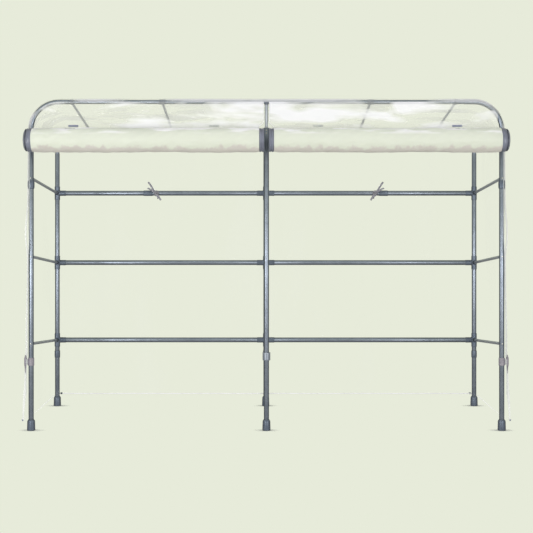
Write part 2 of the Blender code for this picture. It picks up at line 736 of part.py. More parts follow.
def cord_route():
    """The pull cord's route: (outward from the post's axis, behind it, height)."""
    start_out = SPOOL_X + SPOOL_BAND + GROOVE_WIDTH / 2 - POST_X
    start_back = GROOVE_R + CORD_R + CORD_PLAY - ROLL_OFFSET
    stem_out = COUPLER_R + CORD_R + CORD_PLAY
    half_back = STEM_HALF[0] + CORD_R + CORD_PLAY
    half_up = STEM_HALF[1] + CORD_R + CORD_PLAY
    route = [(start_out, start_back, ROLL_Z), (start_out, start_back, ROLL_Z - 0.05),
             (0.0060, -0.0350, 1.30), (0.0105, -0.0300, 1.05), (0.0155, -0.0240, 0.80),
             (0.0180, -0.0180, 0.60), (stem_out, -0.0125, 0.45),
             (stem_out, -half_back - 0.0006, CLAMP_Z + 0.035)]
    turns = 14
    for i in range(turns + 1):
        a = 2 * math.pi * i / turns
        out = stem_out + CORD_PITCH * i / turns
        route.append((out, -half_back * math.cos(a), CLAMP_Z - half_up * math.sin(a)))
    last = stem_out + CORD_PITCH
    route += [(last + 0.0004, -half_back - 0.0006, CLAMP_Z - 0.035), (last + 0.002, -0.0110, 0.27),
              (last + 0.001, -0.0120, 0.19)]
    return route


def smooth(points, spacing):
    """Points about spacing apart on a smooth curve through the given ones."""
    points = [Vector(p) for p in points]
    padded = [2 * points[0] - points[1]] + points + [2 * points[-1] - points[-2]]
    found = []
    for i in range(1, len(padded) - 2):
        before, start, end, after = padded[i - 1:i + 3]
        steps = max(round((end - start).length / spacing), 1)
        for k in range(steps):
            t = k / steps
            found.append(0.5 * (2 * start + (end - before) * t
                                + (2 * before - 5 * start + 4 * end - after) * t ** 2
                                + (3 * start - before - 3 * end + after) * t ** 3))
    return found + [points[-1]]


def pull_cords():
    for side, hand in ((-1, "left"), (1, "right")):
        route = [(side * (POST_X + out), FRONT_Y + back, z) for out, back, z in cord_route()]
        points = smooth(route, CORD_STEP)
        curve = bpy.data.curves.new(hand + "_pull_cord", "CURVE")
        curve.dimensions = "3D"
        curve.bevel_depth = CORD_R
        curve.bevel_resolution = 2
        curve.use_fill_caps = True
        line = curve.splines.new("POLY")
        line.points.add(len(points) - 1)
        for place, point in zip(line.points, points):
            place.co = (*point, 1.0)
        curve.materials.append(webbing())
        cord = bpy.data.objects.new(hand + "_pull_cord", curve)
        bpy.context.scene.collection.objects.link(cord)
        length = sum((b - a).length for a, b in zip(points, points[1:]))
        print(hand, "pull cord", len(points), "points, length", round(length, 3))


def main():
    clear_scene()
    posts()
    foot_caps()
    hoops()
    rails()
    fittings()
    side_bars()
    rafters()
    cleat_clamps()
    roof_film()
    side_films()
    back_film()
    curtains()
    for side, hand in ((-1, "left"), (1, "right")):
        carrier = pivot(hand + "_roll_carrier", Vector((0.0, ROLL_Y, ROLL_Z)))
        axle_cap(side, hand, carrier)
        spinner = pivot(hand + "_roll_axis", Vector((0.0, ROLL_Y, ROLL_Z)))
        rolls(side, hand, spinner)
        roll_hardware(side, hand, spinner)
    pull_cords()


main()
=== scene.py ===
# %% [markdown]
# # A lean-to plant shelter
# The shelter is a frame of slotted steel tubes under a clear plastic film. Two front
# curtains are rolled up under the roof on tubes, which pull cords turn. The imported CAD
# model gives every place and size. This script dresses it: rounder tubes, moulded
# fittings, thin film with its folds, and the small hardware.

# %% Load the CAD frame
import json
import math

import bmesh
import bpy
from mathutils import Matrix, Vector, noise

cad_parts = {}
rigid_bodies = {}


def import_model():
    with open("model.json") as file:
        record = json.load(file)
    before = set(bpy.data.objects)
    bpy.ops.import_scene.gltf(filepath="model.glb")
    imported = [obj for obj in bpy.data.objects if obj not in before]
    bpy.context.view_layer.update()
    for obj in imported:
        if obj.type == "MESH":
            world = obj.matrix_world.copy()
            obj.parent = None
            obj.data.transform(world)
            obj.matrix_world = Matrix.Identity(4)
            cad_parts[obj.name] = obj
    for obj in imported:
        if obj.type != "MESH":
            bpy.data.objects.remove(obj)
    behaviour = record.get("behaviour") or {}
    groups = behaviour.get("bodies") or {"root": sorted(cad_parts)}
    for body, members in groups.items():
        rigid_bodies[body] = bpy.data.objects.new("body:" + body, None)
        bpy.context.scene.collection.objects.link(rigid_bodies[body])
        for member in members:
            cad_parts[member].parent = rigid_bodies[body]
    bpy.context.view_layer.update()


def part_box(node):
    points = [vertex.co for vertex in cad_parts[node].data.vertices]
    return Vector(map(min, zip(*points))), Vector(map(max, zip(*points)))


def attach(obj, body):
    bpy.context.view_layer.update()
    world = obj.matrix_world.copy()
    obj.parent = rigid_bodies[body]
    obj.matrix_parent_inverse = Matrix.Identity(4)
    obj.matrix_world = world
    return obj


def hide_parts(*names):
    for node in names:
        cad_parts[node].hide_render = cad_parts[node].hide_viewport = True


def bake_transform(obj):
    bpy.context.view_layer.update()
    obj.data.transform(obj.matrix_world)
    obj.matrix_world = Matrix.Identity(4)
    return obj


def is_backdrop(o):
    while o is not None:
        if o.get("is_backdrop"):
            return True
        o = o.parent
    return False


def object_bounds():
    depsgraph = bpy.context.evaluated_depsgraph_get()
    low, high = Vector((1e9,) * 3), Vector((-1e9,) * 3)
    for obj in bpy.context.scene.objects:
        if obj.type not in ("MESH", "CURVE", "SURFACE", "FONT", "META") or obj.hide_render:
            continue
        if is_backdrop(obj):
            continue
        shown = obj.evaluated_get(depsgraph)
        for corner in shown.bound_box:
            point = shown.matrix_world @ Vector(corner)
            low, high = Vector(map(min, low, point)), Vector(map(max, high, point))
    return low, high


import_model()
for leftover in [o for o in bpy.data.objects if o.name in ("Cube", "Light", "Camera")]:
    bpy.data.objects.remove(leftover)

# %% [markdown]
# Every place below is read from the CAD nodes, so the dressed pieces sit on the solids.
# The few sizes that a box can't tell, such as a wall, are given in metres.

# %% Places read from the CAD nodes
def middle(node):
    low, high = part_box(node)
    return (low + high) / 2

X_AXIS, Y_AXIS, Z_AXIS = Vector((1, 0, 0)), Vector((0, 1, 0)), Vector((0, 0, 1))
SIDES = ((-1, "left"), (1, "right"))
LEVELS = ("bottom", "middle", "top")
post_x = middle("front_right_post").x
front_y = middle("front_right_post").y
back_y = middle("back_right_post").y
front_top_z = middle("front_top_tube").z
HOOP_R, PLUG_PLAY = 0.0118, 0.0003
back_top_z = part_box("back_hoop")[1].z - HOOP_R
corner_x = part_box("front_top_tube")[1].x + PLUG_PLAY
corner_r = post_x - corner_x
back_corner_r = back_top_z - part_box("back_right_post")[1].z
back_corner_x = post_x - back_corner_r
roll_y, roll_z = middle("right_axle_cap").y, middle("right_axle_cap").z
print("posts at", round(post_x, 4), "front", round(front_y, 4), "back", round(back_y, 4))
print("hoop corners", round(corner_r, 4), round(back_corner_r, 4),
      "top tubes", round(front_top_z, 4), round(back_top_z, 4))

# %% [markdown]
# ## Camera
# The photo is taken level, square to the open front, from about six metres. The horizon
# lies above the picture's middle, so the lens is shifted down and not tilted: that keeps
# the posts upright.

# %% Camera
PHOTO_PIXELS = 533
FOCAL_PIXELS = 1141.4
CAMERA_BACK = 6.03
camera = bpy.data.objects.new("camera", bpy.data.cameras.new("camera"))
bpy.context.scene.collection.objects.link(camera)
camera.data.sensor_width = 36.0
camera.data.lens = FOCAL_PIXELS / PHOTO_PIXELS * camera.data.sensor_width
camera.data.shift_x = 0.0122
camera.data.shift_y = -0.0966
camera.location = (-0.034, front_y - CAMERA_BACK, 1.137)
camera.rotation_euler = (math.pi / 2, 0.0, 0.0)
bpy.context.scene.camera = camera
print("lens", round(camera.data.lens, 1), "mm")

# %% [markdown]
# ## Selecting and finishing
# An operator acts on all that is selected, so everything is deselected before a
# piece is made. A finished piece keeps its place in its mesh and its object stays at the
# origin, because patterns are fixed to the object and would slide if it were moved later.

# %% Selecting and finishing
def deselect():
    if bpy.context.object and bpy.context.object.mode != "OBJECT":
        bpy.ops.object.mode_set(mode="OBJECT")
    bpy.ops.object.select_all(action="DESELECT")

def activate(obj):
    deselect()
    obj.select_set(True)
    bpy.context.view_layer.objects.active = obj

def settle(obj, smooth_angle=35):
    """Puts the piece's place in its mesh and smooths what isn't an edge."""
    activate(obj)
    bpy.ops.object.transform_apply(location=True, rotation=True, scale=True)
    bpy.ops.object.shade_smooth_by_angle(angle=math.radians(smooth_angle))
    return obj

print("helpers made: deselect, activate, settle")

# %% [markdown]
# ## Pull cords
# Each cord is a braided nylon line of 3 mm. It leaves the rear of the spool's groove, hangs
# in front of the post, takes one turn round the cleat's stem and ends in a short tail. It
# could stay a curve with a round bevel, but it is made a mesh.
# The route is the CAD one, but stays in line with the groove down to 1.1 m, so that the
# lowered spool clears it. A smooth curve through its points gives it no kinks.

# %% Cord routes
CORD_R = 0.0015
# Each point is (outward from the post's axis, behind it, height).
CORD_ROUTE = ((0.00349, -0.0359, 1.527), (0.00349, -0.0359, 1.477),
              (0.00349, -0.0359, 1.30), (0.00349, -0.0359, 1.10),
              (0.0055, -0.0338, 1.00), (0.0105, -0.0288, 0.90), (0.0155, -0.0240, 0.80),
              (0.0180, -0.0180, 0.60), (0.0184, -0.0125, 0.45), (0.0184, -0.0097, 0.3975))
STEM_OUT, CLEAT_Z, TURN_BACK, TURN_UP, TURN_PITCH = 0.0184, 0.3625, 0.0091, 0.0161, 0.004
TURN_STEPS = 14

def cord_points(side):
    route = list(CORD_ROUTE)
    for i in range(TURN_STEPS + 1):
        a = 2 * math.pi * i / TURN_STEPS
        route.append((STEM_OUT + TURN_PITCH * i / TURN_STEPS, -TURN_BACK * math.cos(a),
                      CLEAT_Z - TURN_UP * math.sin(a)))
    last = STEM_OUT + TURN_PITCH
    route += [(last + 0.0004, -0.0097, 0.3275), (last + 0.002, -0.0110, 0.27),
              (last + 0.001, -0.0120, 0.19)]
    return smooth_line([Vector((side * (post_x + out), front_y + back, z))
                        for out, back, z in route], 0.006)

def smooth_line(points, spacing):
    """Points about spacing apart on a smooth curve through the given ones."""
    padded = [2 * points[0] - points[1]] + points + [2 * points[-1] - points[-2]]
    found = []
    for before, start, end, after in zip(padded, padded[1:], padded[2:], padded[3:]):
        steps = max(round((end - start).length / spacing), 1)
        for t in [k / steps for k in range(steps)]:
            found.append(0.5 * (2 * start + (end - before) * t
                                + (2 * before - 5 * start + 4 * end - after) * t ** 2
                                + (3 * start - before - 3 * end + after) * t ** 3))
    return found + [points[-1]]

def line_length(points):
    return sum((b - a).length for a, b in zip(points, points[1:]))

print("cord route:", len(cord_points(1)), "points")

# %% Cords as round tubes
def round_line(name, points, radius, sides=10, closed=False, taper=1.0):
    """A round tube along points, made from a curve's bevel and turned into a mesh.
    taper is the share of the radius left at its first point, growing to all at half way."""
    curve = bpy.data.curves.new(name, "CURVE")
    curve.dimensions = "3D"
    curve.bevel_depth = radius
    curve.bevel_resolution = max((sides - 4) // 2, 0)
    curve.use_fill_caps = True
    line = curve.splines.new("POLY")
    line.points.add(len(points) - 1)
    for i, (place, point) in enumerate(zip(line.points, points)):
        place.co = (*point, 1.0)
        place.radius = min(taper + (1 - taper) * 2 * i / len(points), 1.0)
    line.use_cyclic_u = closed
    piece = bpy.data.objects.new(name, curve)
    bpy.context.scene.collection.objects.link(piece)
    activate(piece)
    bpy.ops.object.convert(target="MESH")
    piece = bpy.context.object
    bpy.ops.object.mode_set(mode="EDIT")
    bpy.ops.mesh.select_all(action="SELECT")
    bpy.ops.mesh.remove_doubles(threshold=1e-6)
    bpy.ops.mesh.normals_make_consistent(inside=False)
    bpy.ops.object.mode_set(mode="OBJECT")
    return settle(piece, 60)

cords = {}
for side, hand in SIDES:
    points = cord_points(side)
    cord = round_line(hand + "_cord", points, CORD_R)
    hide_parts(hand + "_pull_cord")
    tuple(points[0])
    cords[hand] = cord
    print(cord.name, round(line_length(points), 3), "m")

# %% [markdown]
# ## Colours and nodes
# Colours are written as sRGB hex values, as an eye reads them, and one function turns
# them to the linear numbers that light is reckoned in. A second one adds any node with its
# settings and links. Object coordinates are metres, so a pattern whose scale is 1000
# divided by a size in millimetres has spots of about that size.

# %% Colour and node helpers
def linear(hex_colour):
    channels = [int(hex_colour[i:i + 2], 16) / 255 for i in (1, 3, 5)]
    return (*[c / 12.92 if c <= 0.04045 else ((c + 0.055) / 1.055) ** 2.4
              for c in channels], 1.0)

def add(tree, kind, inputs=None, stops=(), **settings):
    """Adds a node, sets it up, and links or fills its inputs.
    stops are (position, grey level) pairs for a node that holds a ramp."""
    made = tree.nodes.new("ShaderNode" + kind)
    for name, value in settings.items():
        setattr(made, name, value)
    for name, value in (inputs or {}).items():
        if isinstance(value, bpy.types.NodeSocket):
            tree.links.new(value, made.inputs[name])
        else:
            made.inputs[name].default_value = value
    if stops:
        ramp = made.color_ramp.elements
        for stop, (position, level) in zip(ramp, (stops[0], stops[-1])):
            stop.position = position
            stop.color = (level, level, level, 1.0)
        for position, level in stops[1:-1]:
            ramp.new(position).color = (level, level, level, 1.0)
    return made

def new_material(name):
    made = bpy.data.materials.new(name)
    made.use_nodes = True
    made.node_tree.nodes.clear()
    return made, made.node_tree

def paint(obj, surface):
    obj.data.materials.clear()
    obj.data.materials.append(surface)
    return obj

def dress(obj, body, surface, slot, *nodes):
    """Puts a piece on its body and in its finish. It stands for the nodes that are named."""
    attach(obj, body)
    if nodes:
        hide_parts(*nodes)
    return paint(obj, surface)

print("mid grey is", round(linear("#808080")[0], 3), "in linear numbers")

# %% [markdown]
# ## A finish with patches and grain
# No real coat or plastic is one flat colour: it has slow patches from how it was made and
# handled, and a fine grain that breaks up its shine. Separate node trees could be built for
# each, but they would share all their steps, so one function takes the sizes and tones.

# %% The shared tree of the opaque finishes
def coated(name, dark, light, patch_mm, roughness, bump_mm, bump_depth, metallic=0.0,
           rim=1.0, **sockets):
    """rim is the share of the colour left where a round piece turns away: painted shade that
    darkens its edges.
    """
    made, tree = new_material(name)
    surface = add(tree, "BsdfPrincipled", {"Metallic": metallic, **sockets})
    surface.name = "surface"
    place = add(tree, "TexCoord").outputs["Object"]
    slow = add(tree, "TexNoise", {"Vector": place, "Scale": 1000.0 / patch_mm})
    patches = add(tree, "ValToRGB", {"Fac": slow.outputs["Fac"]}, ((0.35, 0.0), (0.65, 1.0)))
    worn = add(tree, "Mix", {0: patches.outputs["Color"], 6: linear(dark), 7: linear(light)},
               data_type="RGBA")
    # Painted shade: the colour darkens where the surface turns away from the camera, down to the
    # share rim.
    turned = add(tree, "LayerWeight", {"Blend": 0.5})
    edge_shade_share = add(tree, "MapRange", {"Value": turned.outputs["Facing"], "From Min": 0.15,
                                  "From Max": 0.6, "To Min": 1.0, "To Max": rim})
    shade = add(tree, "VectorMath", {0: worn.outputs[2], "Scale": edge_shade_share.outputs["Result"]},
                operation="SCALE")
    tree.links.new(shade.outputs["Vector"], surface.inputs["Base Color"])
    rubbed = add(tree, "TexNoise", {"Vector": place, "Detail": 3.0,
                                    "Scale": 1000.0 / (patch_mm / 3)})
    rough = add(tree, "MapRange", {"Value": rubbed.outputs["Fac"],
                                   "To Min": roughness[0], "To Max": roughness[1]})
    tree.links.new(rough.outputs["Result"], surface.inputs["Roughness"])
    fine = add(tree, "TexNoise", {"Vector": place, "Scale": 1000.0 / bump_mm})
    peel = add(tree, "Bump", {"Height": fine.outputs["Fac"], "Strength": 0.35,
                              "Distance": bump_depth})
    tree.links.new(peel.outputs["Normal"], surface.inputs["Normal"])
    out = add(tree, "OutputMaterial")
    tree.links.new(surface.outputs["BSDF"], out.inputs["Surface"])
    return made

print("an opaque finish is made from two tones, a patch size and a grain size")

# %% [markdown]
# ## Steel finishes
# The tubes are steel with a polyester powder baked on. It flows into a satin skin with a
# faint orange peel of 1 to 2 mm, drawn at its real size. The handling and the uneven coat
# show as slow patches of about 60 mm. Metal with no coat would be brighter and sharper, so
# the coat is made part metallic and rough, and keeps the default IOR.

# %% Steel finishes
# A dark tint on the reflections where a round piece turns away: painted shade that keeps
# its edges dark and crisp.
EDGE_SHADE_TINT = {"Specular Tint": linear("#23272C")}

# Baked polyester powder on steel tube. To the eye: a satin blue-grey with one soft bright
# line along each tube and dark edges, partly painted shade from rim and the dark tint.
powder_coat = coated("powder_coated_steel", "#767D89", "#7F8692", 60, (0.30, 0.36), 1.6,
                     0.00004, metallic=0.85, rim=0.6, **EDGE_SHADE_TINT)

# The same powder on the thin bars, rougher from being pressed flat. Its colour is painted
# paler than the posts' coat to make up for the light the bars miss, and rim paints shade on
# its edges. To the eye: a paler, duller grey with no bright line.
lightened_bar_finish = coated("thin_tube_powder_painted_light", "#7C838F", "#878E99", 60, (0.32, 0.38), 1.6,
                  0.00004, metallic=0.4, rim=0.7)

# The rafters' steel, painted pale to stand for the haze of the film in front of it. To the
# eye: a light, cloudy grey that stays pale under the film.
hazed_rafter_finish = coated("rafter_steel_painted_haze", "#959BA3", "#A8ADB4", 45, (0.32, 0.42), 1.6,
                     0.00004, metallic=0.5)

# Zinc plating on a small screw. To the eye: a bright, slightly warm glint.
zinc = coated("zinc_plated_steel", "#A5A39C", "#BFBCB4", 6, (0.2, 0.4), 0.5, 0.00005, 1.0)
print("steel finishes:", powder_coat.name, lightened_bar_finish.name, hazed_rafter_finish.name, zinc.name)

# %% [markdown]
# ## Darker ends on the rafters
# The tees at the rafters' ends are darker than the rafters in the photo. They could be
# pieces of their own, but on the real frame they are pressed on to the bar and part of it.
# So the finish darkens by its distance from the rafter's middle. The thin riser below the
# middle tee is left pale by its height under the rafter's line.

# %% Darker ends on the rafters
def dark_ends(made, grey):
    """Darkens a finish where a bar's tees sit on the top tubes, not on the riser below."""
    tree = made.node_tree
    surface = tree.nodes["surface"]
    light = surface.inputs["Base Color"].links[0].from_socket
    parts = add(tree, "SeparateXYZ", {"Vector": add(tree, "TexCoord").outputs["Object"]})
    off = add(tree, "Math", {0: parts.outputs["Y"], 1: (front_y + back_y) / 2},
              operation="SUBTRACT")
    far = add(tree, "Math", {0: off.outputs["Value"]}, operation="ABSOLUTE")
    half = (back_y - front_y) / 2
    tee = add(tree, "MapRange", {"Value": far.outputs["Value"], "From Min": half - 0.024,
                                 "From Max": half - 0.020})
    slope = (back_top_z - front_top_z) / (back_y - front_y)
    axis = add(tree, "Math", {0: parts.outputs["Y"], 1: slope, 2: front_top_z - front_y * slope},
               operation="MULTIPLY_ADD")
    over = add(tree, "Math", {0: parts.outputs["Z"], 1: axis.outputs["Value"]},
               operation="SUBTRACT")
    near = add(tree, "MapRange", {"Value": over.outputs["Value"], "From Min": -0.020,
                                  "From Max": -0.016})
    here = add(tree, "Math", {0: tee.outputs["Result"], 1: near.outputs["Result"]},
               operation="MULTIPLY")
    both = add(tree, "Mix", {0: here.outputs["Value"], 6: light, 7: linear(grey)},
               data_type="RGBA")
    tree.links.new(both.outputs[2], surface.inputs["Base Color"])

dark_ends(hazed_rafter_finish, "#6E737D")
print("darker ends on", hazed_rafter_finish.name)

# %% [markdown]
# ## Plastics, webbing and line
# The fittings, discs and cleats are injection moulded, which gives a smooth skin with a
# faint texture from the mould of about 1 mm. Webbing and cord are woven. Their threads of
# about half a millimetre are finer than a pixel of the render, so the weave is drawn at
# about 1 mm and its uneven colour at 3 to 5 mm.

# %% Plastics, webbing and line
# Injection-moulded polypropylene. To the eye: the posts' grey, a shade darker, with a
# tight soft highlight on each fillet, and painted shade on its edges from rim and the dark
# tint.
fitting_plastic = coated("moulded_polypropylene", "#5A626E", "#656D79", 35, (0.24, 0.34), 0.9,
                         0.0001, metallic=0.3, rim=0.5, **EDGE_SHADE_TINT)

# Moulded nylon, with painted shade on its edges from rim. To the eye: a flat, slightly
# violet grey that closes the roll's ends.
disc_plastic = coated("moulded_nylon", "#646876", "#707483", 40, (0.3, 0.4), 0.9, 0.0001,
                      rim=0.7)

# Moulded acetal. To the eye: a warm grey with a dull shine, a little lighter than the post.
cleat_plastic = coated("moulded_acetal", "#7A7680", "#8B868E", 25, (0.35, 0.45), 0.9, 0.0001)

# Woven polypropylene webbing. To the eye: a dull bluish band with no highlight.
webbing = coated("polypropylene_webbing", "#777C93", "#8B90A6", 3, (0.75, 0.9), 1.2, 0.0004)

# The same webbing, painted pale to stand for the haze of the film over it. To the eye: a
# pale, hazy band.
webbing_with_painted_haze = coated("webbing_painted_film_haze", "#A9ADAA", "#BEC1BB", 3, (0.6, 0.8), 1.2, 0.0003)

# Polyester webbing of mixed threads. To the eye: a rough band, mottled dark and light.
tie_webbing = coated("polyester_webbing", "#55555E", "#A3A2A9", 5, (0.75, 0.9), 1.2, 0.0004)

# Braided nylon line. To the eye: an off-white, matt string.
cord_nylon = coated("braided_nylon", "#BFC2C2", "#D9DBD8", 3, (0.6, 0.8), 1.0, 0.0005)
for cord in cords.values():
    paint(cord, cord_nylon)
print("plastics and webbing:", fitting_plastic.name, disc_plastic.name, cleat_plastic.name,
      webbing.name, webbing_with_painted_haze.name, tie_webbing.name, cord_nylon.name)

# %% [markdown]
# ## Clear film
# The cover is clear polyethylene of 0.15 mm. Glass with a thickness would bend what is
# behind it, which such a thin film doesn't, so a Transparent shader lets the light straight
# through. Old folds scatter light: a mask of long streaks, 75 to 140 mm apart as on the
# photo's film, mixes in a milky, glossy surface.

# %% The node tree of the clear films
def film(name, haze, streak, stretch, streak_mm, cover=(0.0, 0.0), edge=0.0):
    """haze is the least share of milky surface and streak the most, in the creases.
    cover widens the creases near the middle of the shelter and at the front wrap.
    edge is the extra share where the film is seen flat on its edge."""
    made, tree = new_material(name)
    place = add(tree, "TexCoord")
    turned = add(tree, "Mapping", {"Vector": place.outputs["Object"], "Scale": stretch})
    bent = add(tree, "TexNoise", {"Vector": turned.outputs["Vector"],
                                  "Scale": 1000.0 / streak_mm, "Detail": 2.5,
                                  "Roughness": 0.45, "Distortion": 0.35})
    parts = add(tree, "SeparateXYZ", {"Vector": place.outputs["Object"]})
    off_middle = add(tree, "Math", {0: parts.outputs["X"]}, operation="ABSOLUTE")
    near = add(tree, "MapRange", {"Value": off_middle.outputs["Value"], "From Min": 0.3,
                                  "From Max": 1.0, "To Min": cover[0], "To Max": 0.0})
    wrap = add(tree, "MapRange", {"Value": parts.outputs["Y"], "From Min": front_y - 0.010,
                                  "From Max": front_y + 0.040, "To Min": cover[1],
                                  "To Max": 0.0})
    gather = add(tree, "MapRange", {"Value": off_middle.outputs["Value"], "From Min": 0.04,
                                    "From Max": 0.14, "To Min": 3.0, "To Max": 1.0})
    folded_in = add(tree, "Math", {0: wrap.outputs["Result"], 1: gather.outputs["Result"]},
                    operation="MULTIPLY")
    more = add(tree, "Math", {0: near.outputs["Result"], 1: folded_in.outputs["Value"]},
               operation="ADD")
    crease = add(tree, "Math", {0: bent.outputs["Fac"], 1: more.outputs["Value"]},
                 operation="ADD")
    mask = add(tree, "ValToRGB", {"Fac": crease.outputs["Value"]},
               ((0.50, 0.0), (0.57, 0.5), (0.68, 1.0))).outputs["Color"]
    share = add(tree, "MapRange", {"Value": mask, "To Min": haze, "To Max": streak})
    facing = add(tree, "LayerWeight", {"Blend": 0.2})
    rim = add(tree, "Math", {0: facing.outputs["Facing"], 1: edge}, operation="MULTIPLY")
    milk = add(tree, "Math", {0: share.outputs["Result"], 1: rim.outputs["Value"]},
               operation="ADD", use_clamp=True)
    skin = add(tree, "BsdfPrincipled", {"Roughness": 0.4, "Specular IOR Level": 0.4})
    glow = add(tree, "BsdfTranslucent")
    for shader, socket in ((skin, "Base Color"), (glow, "Color")):
        tint = add(tree, "Mix", {0: mask, 6: linear("#E9EBE1"), 7: linear("#F0F0F4")},
                   data_type="RGBA")
        tree.links.new(tint.outputs[2], shader.inputs[socket])
    milky = add(tree, "MixShader", {0: 0.2, 1: skin.outputs["BSDF"], 2: glow.outputs["BSDF"]})
    wave = add(tree, "Bump", {"Height": bent.outputs["Fac"], "Strength": 0.25,
                              "Distance": 0.01})
    tree.links.new(wave.outputs["Normal"], skin.inputs["Normal"])
    clear = add(tree, "BsdfTransparent")
    both = add(tree, "MixShader", {0: milk.outputs["Value"], 1: clear.outputs["BSDF"],
                                   2: milky.outputs["Shader"]})
    add(tree, "OutputMaterial", {"Surface": both.outputs["Shader"]})
    return made

print("a clear film is made from its haze, its streaks and their size")

# %% Clear films
# Blown polyethylene, pulled tight over the hoops. To the eye: hardly there, with bright
# glare in long creases and along its front wrap.
roof_surface = film("clear_polyethylene_roof", 0.03, 0.5, (0.28, 0.7, 1.0), 85,
                    (0.07, 0.07), 0.3)

# The same film hanging free. To the eye: a trace of haze.
wall_surface = film("clear_polyethylene_wall", 0.0, 0.05, (0.5, 0.5, 0.15), 140)

# The same film, creased from being rolled up. To the eye: broad milky streaks.
curtain_surface = film("clear_polyethylene_curtain", 0.20, 0.85, (0.26, 1.0, 1.0), 75,
                       (0.10, 0.0))
print("clear films:", roof_surface.name, wall_surface.name, curtain_surface.name)

# %% [markdown]
# ## Wound film and welded edges
# Rolled up, the film's many layers scatter so much light that they look solid white. A
# real stack of clear sheets would need dozens of layers, so one opaque skin with some
# light passing inside it stands for them. Along the film's edges it is folded over and
# welded with a hot bar, which leaves a thin white bead.

# %% Wound film
# Each is (size in mm, detail, stretch): creases, the ragged edge of the painted shade
# below, and the painted highlight streaks on the crown.
ROLL_PATTERNS = ((22, 4.0, (0.3, 1, 1)), (30, 5.0, (0.7, 0.5, 0.5)),
                 (30, 3.0, (0.15, 0.8, 0.8)))

def rolled_film():
    """Milky film with a painted highlight streak along its top and a ragged band of
    painted shade along its foot.
    """
    made, tree = new_material("wound_film_painted_light")
    surface = add(tree, "BsdfPrincipled", {"Specular IOR Level": 0.3,
                                           "Subsurface Weight": 0.5,
                                           "Subsurface Radius": (1.0, 1.0, 1.0),
                                           "Subsurface Scale": 0.006})
    place = add(tree, "TexCoord").outputs["Object"]
    parts = add(tree, "SeparateXYZ", {"Vector": place})
    patterns = []
    for size_mm, detail, stretch in ROLL_PATTERNS:
        drawn = add(tree, "Mapping", {"Vector": place, "Scale": stretch})
        noisy = add(tree, "TexNoise", {"Vector": drawn.outputs["Vector"], "Detail": detail,
                                       "Scale": 1000.0 / size_mm})
        patterns.append(noisy.outputs["Fac"])
    creases, shade_edge_noise, top_streak_noise = patterns
    rough = add(tree, "MapRange", {"Value": creases, "To Min": 0.4, "To Max": 0.6})
    tree.links.new(rough.outputs["Result"], surface.inputs["Roughness"])
    # Painted shade: a ragged, greyer band along the roll's underside.
    shade_band_edge = add(tree, "Math", {0: shade_edge_noise, 1: 0.090, 2: -0.045}, operation="MULTIPLY_ADD")
    height = add(tree, "Math", {0: parts.outputs["Z"], 1: shade_band_edge.outputs["Value"]},
                 operation="ADD")
    low = add(tree, "MapRange", {"Value": height.outputs["Value"],
                                 "From Min": roll_z - 0.047, "From Max": roll_z - 0.031,
                                 "To Min": 1.0, "To Max": 0.0})
    # Painted highlight: white streaks along the roll's top.
    streaks = add(tree, "ValToRGB", {"Fac": top_streak_noise}, ((0.5, 0.0), (0.6, 1.0)))
    high = add(tree, "MapRange", {"Value": parts.outputs["Z"], "From Min": roll_z + 0.026,
                                  "From Max": roll_z + 0.046, "To Max": 1.0})
    painted_top_highlight = add(tree, "Math", {0: streaks.outputs["Color"], 1: high.outputs["Result"]},
                operation="MULTIPLY")
    body = add(tree, "Mix", {0: painted_top_highlight.outputs["Value"], 6: linear("#CED2C5"),
                             7: linear("#E6E6E6")}, data_type="RGBA")
    colour = add(tree, "Mix", {0: low.outputs["Result"], 6: body.outputs[2],
                               7: linear("#C2BEB8")}, data_type="RGBA")
    tree.links.new(colour.outputs[2], surface.inputs["Base Color"])
    wave = add(tree, "Bump", {"Height": creases, "Strength": 0.3, "Distance": 0.0015})
    tree.links.new(wave.outputs["Normal"], surface.inputs["Normal"])
    add(tree, "OutputMaterial", {"Surface": surface.outputs["BSDF"]})
    return made

# Many layers of blown polyethylene. To the eye: soft milky white, a painted bright
# highlight streak along the crown and a ragged, warmer grey band of painted shade below.
roll_surface = rolled_film()
print("wound film:", roll_surface.name)

# %% Welded edges
HEM_GLOW = {"Subsurface Weight": 1.0, "Subsurface Scale": 0.01,
            "Subsurface Radius": (1.0, 1.0, 1.0)}

# Film welded double with a hot bar. To the eye: a clean white line, lit from within.
hem_surface = coated("welded_film_hem", "#F4F5F4", "#FCFCFC", 20, (0.3, 0.5), 9, 0.0002,
                     **HEM_GLOW)

# The same weld along the foot. It is far thinner than a pixel of the render, so a faint
# glow draws it as strong as it needs to show. To the eye: a thin pale thread.
foot_surface = coated("welded_film_foot", "#F4F5F4", "#FCFCFC", 20, (0.3, 0.5), 9, 0.0002,
                      **HEM_GLOW, **{"Emission Color": linear("#FFFFFF"),
                                     "Emission Strength": 0.22})

# A free edge that curls over on itself. To the eye: a dull greyish white ribbon.
curl_surface = coated("curled_film_edge", "#D6D8D3", "#DDDFDA", 20, (0.4, 0.5), 9, 0.0002)
print("welded edges:", hem_surface.name, foot_surface.name, curl_surface.name)

# %% [markdown]
# ## The lathe
# Most of the frame is round: drawn tube, moulded sleeves, discs. A cylinder with loops cut
# into it could be scaled ring by ring, but its rims would need care each time. Here one
# vertex is extruded along half the outline and then spun about its axis, as on a lathe.
# It gives every piece true rims, and one tool makes them all.

# %% The lathe
def apply_modifier(obj, kind, **settings):
    activate(obj)
    step = obj.modifiers.new(kind.lower(), kind)
    for name, value in settings.items():
        setattr(step, name, value)
    bpy.ops.object.modifier_apply(modifier=step.name)

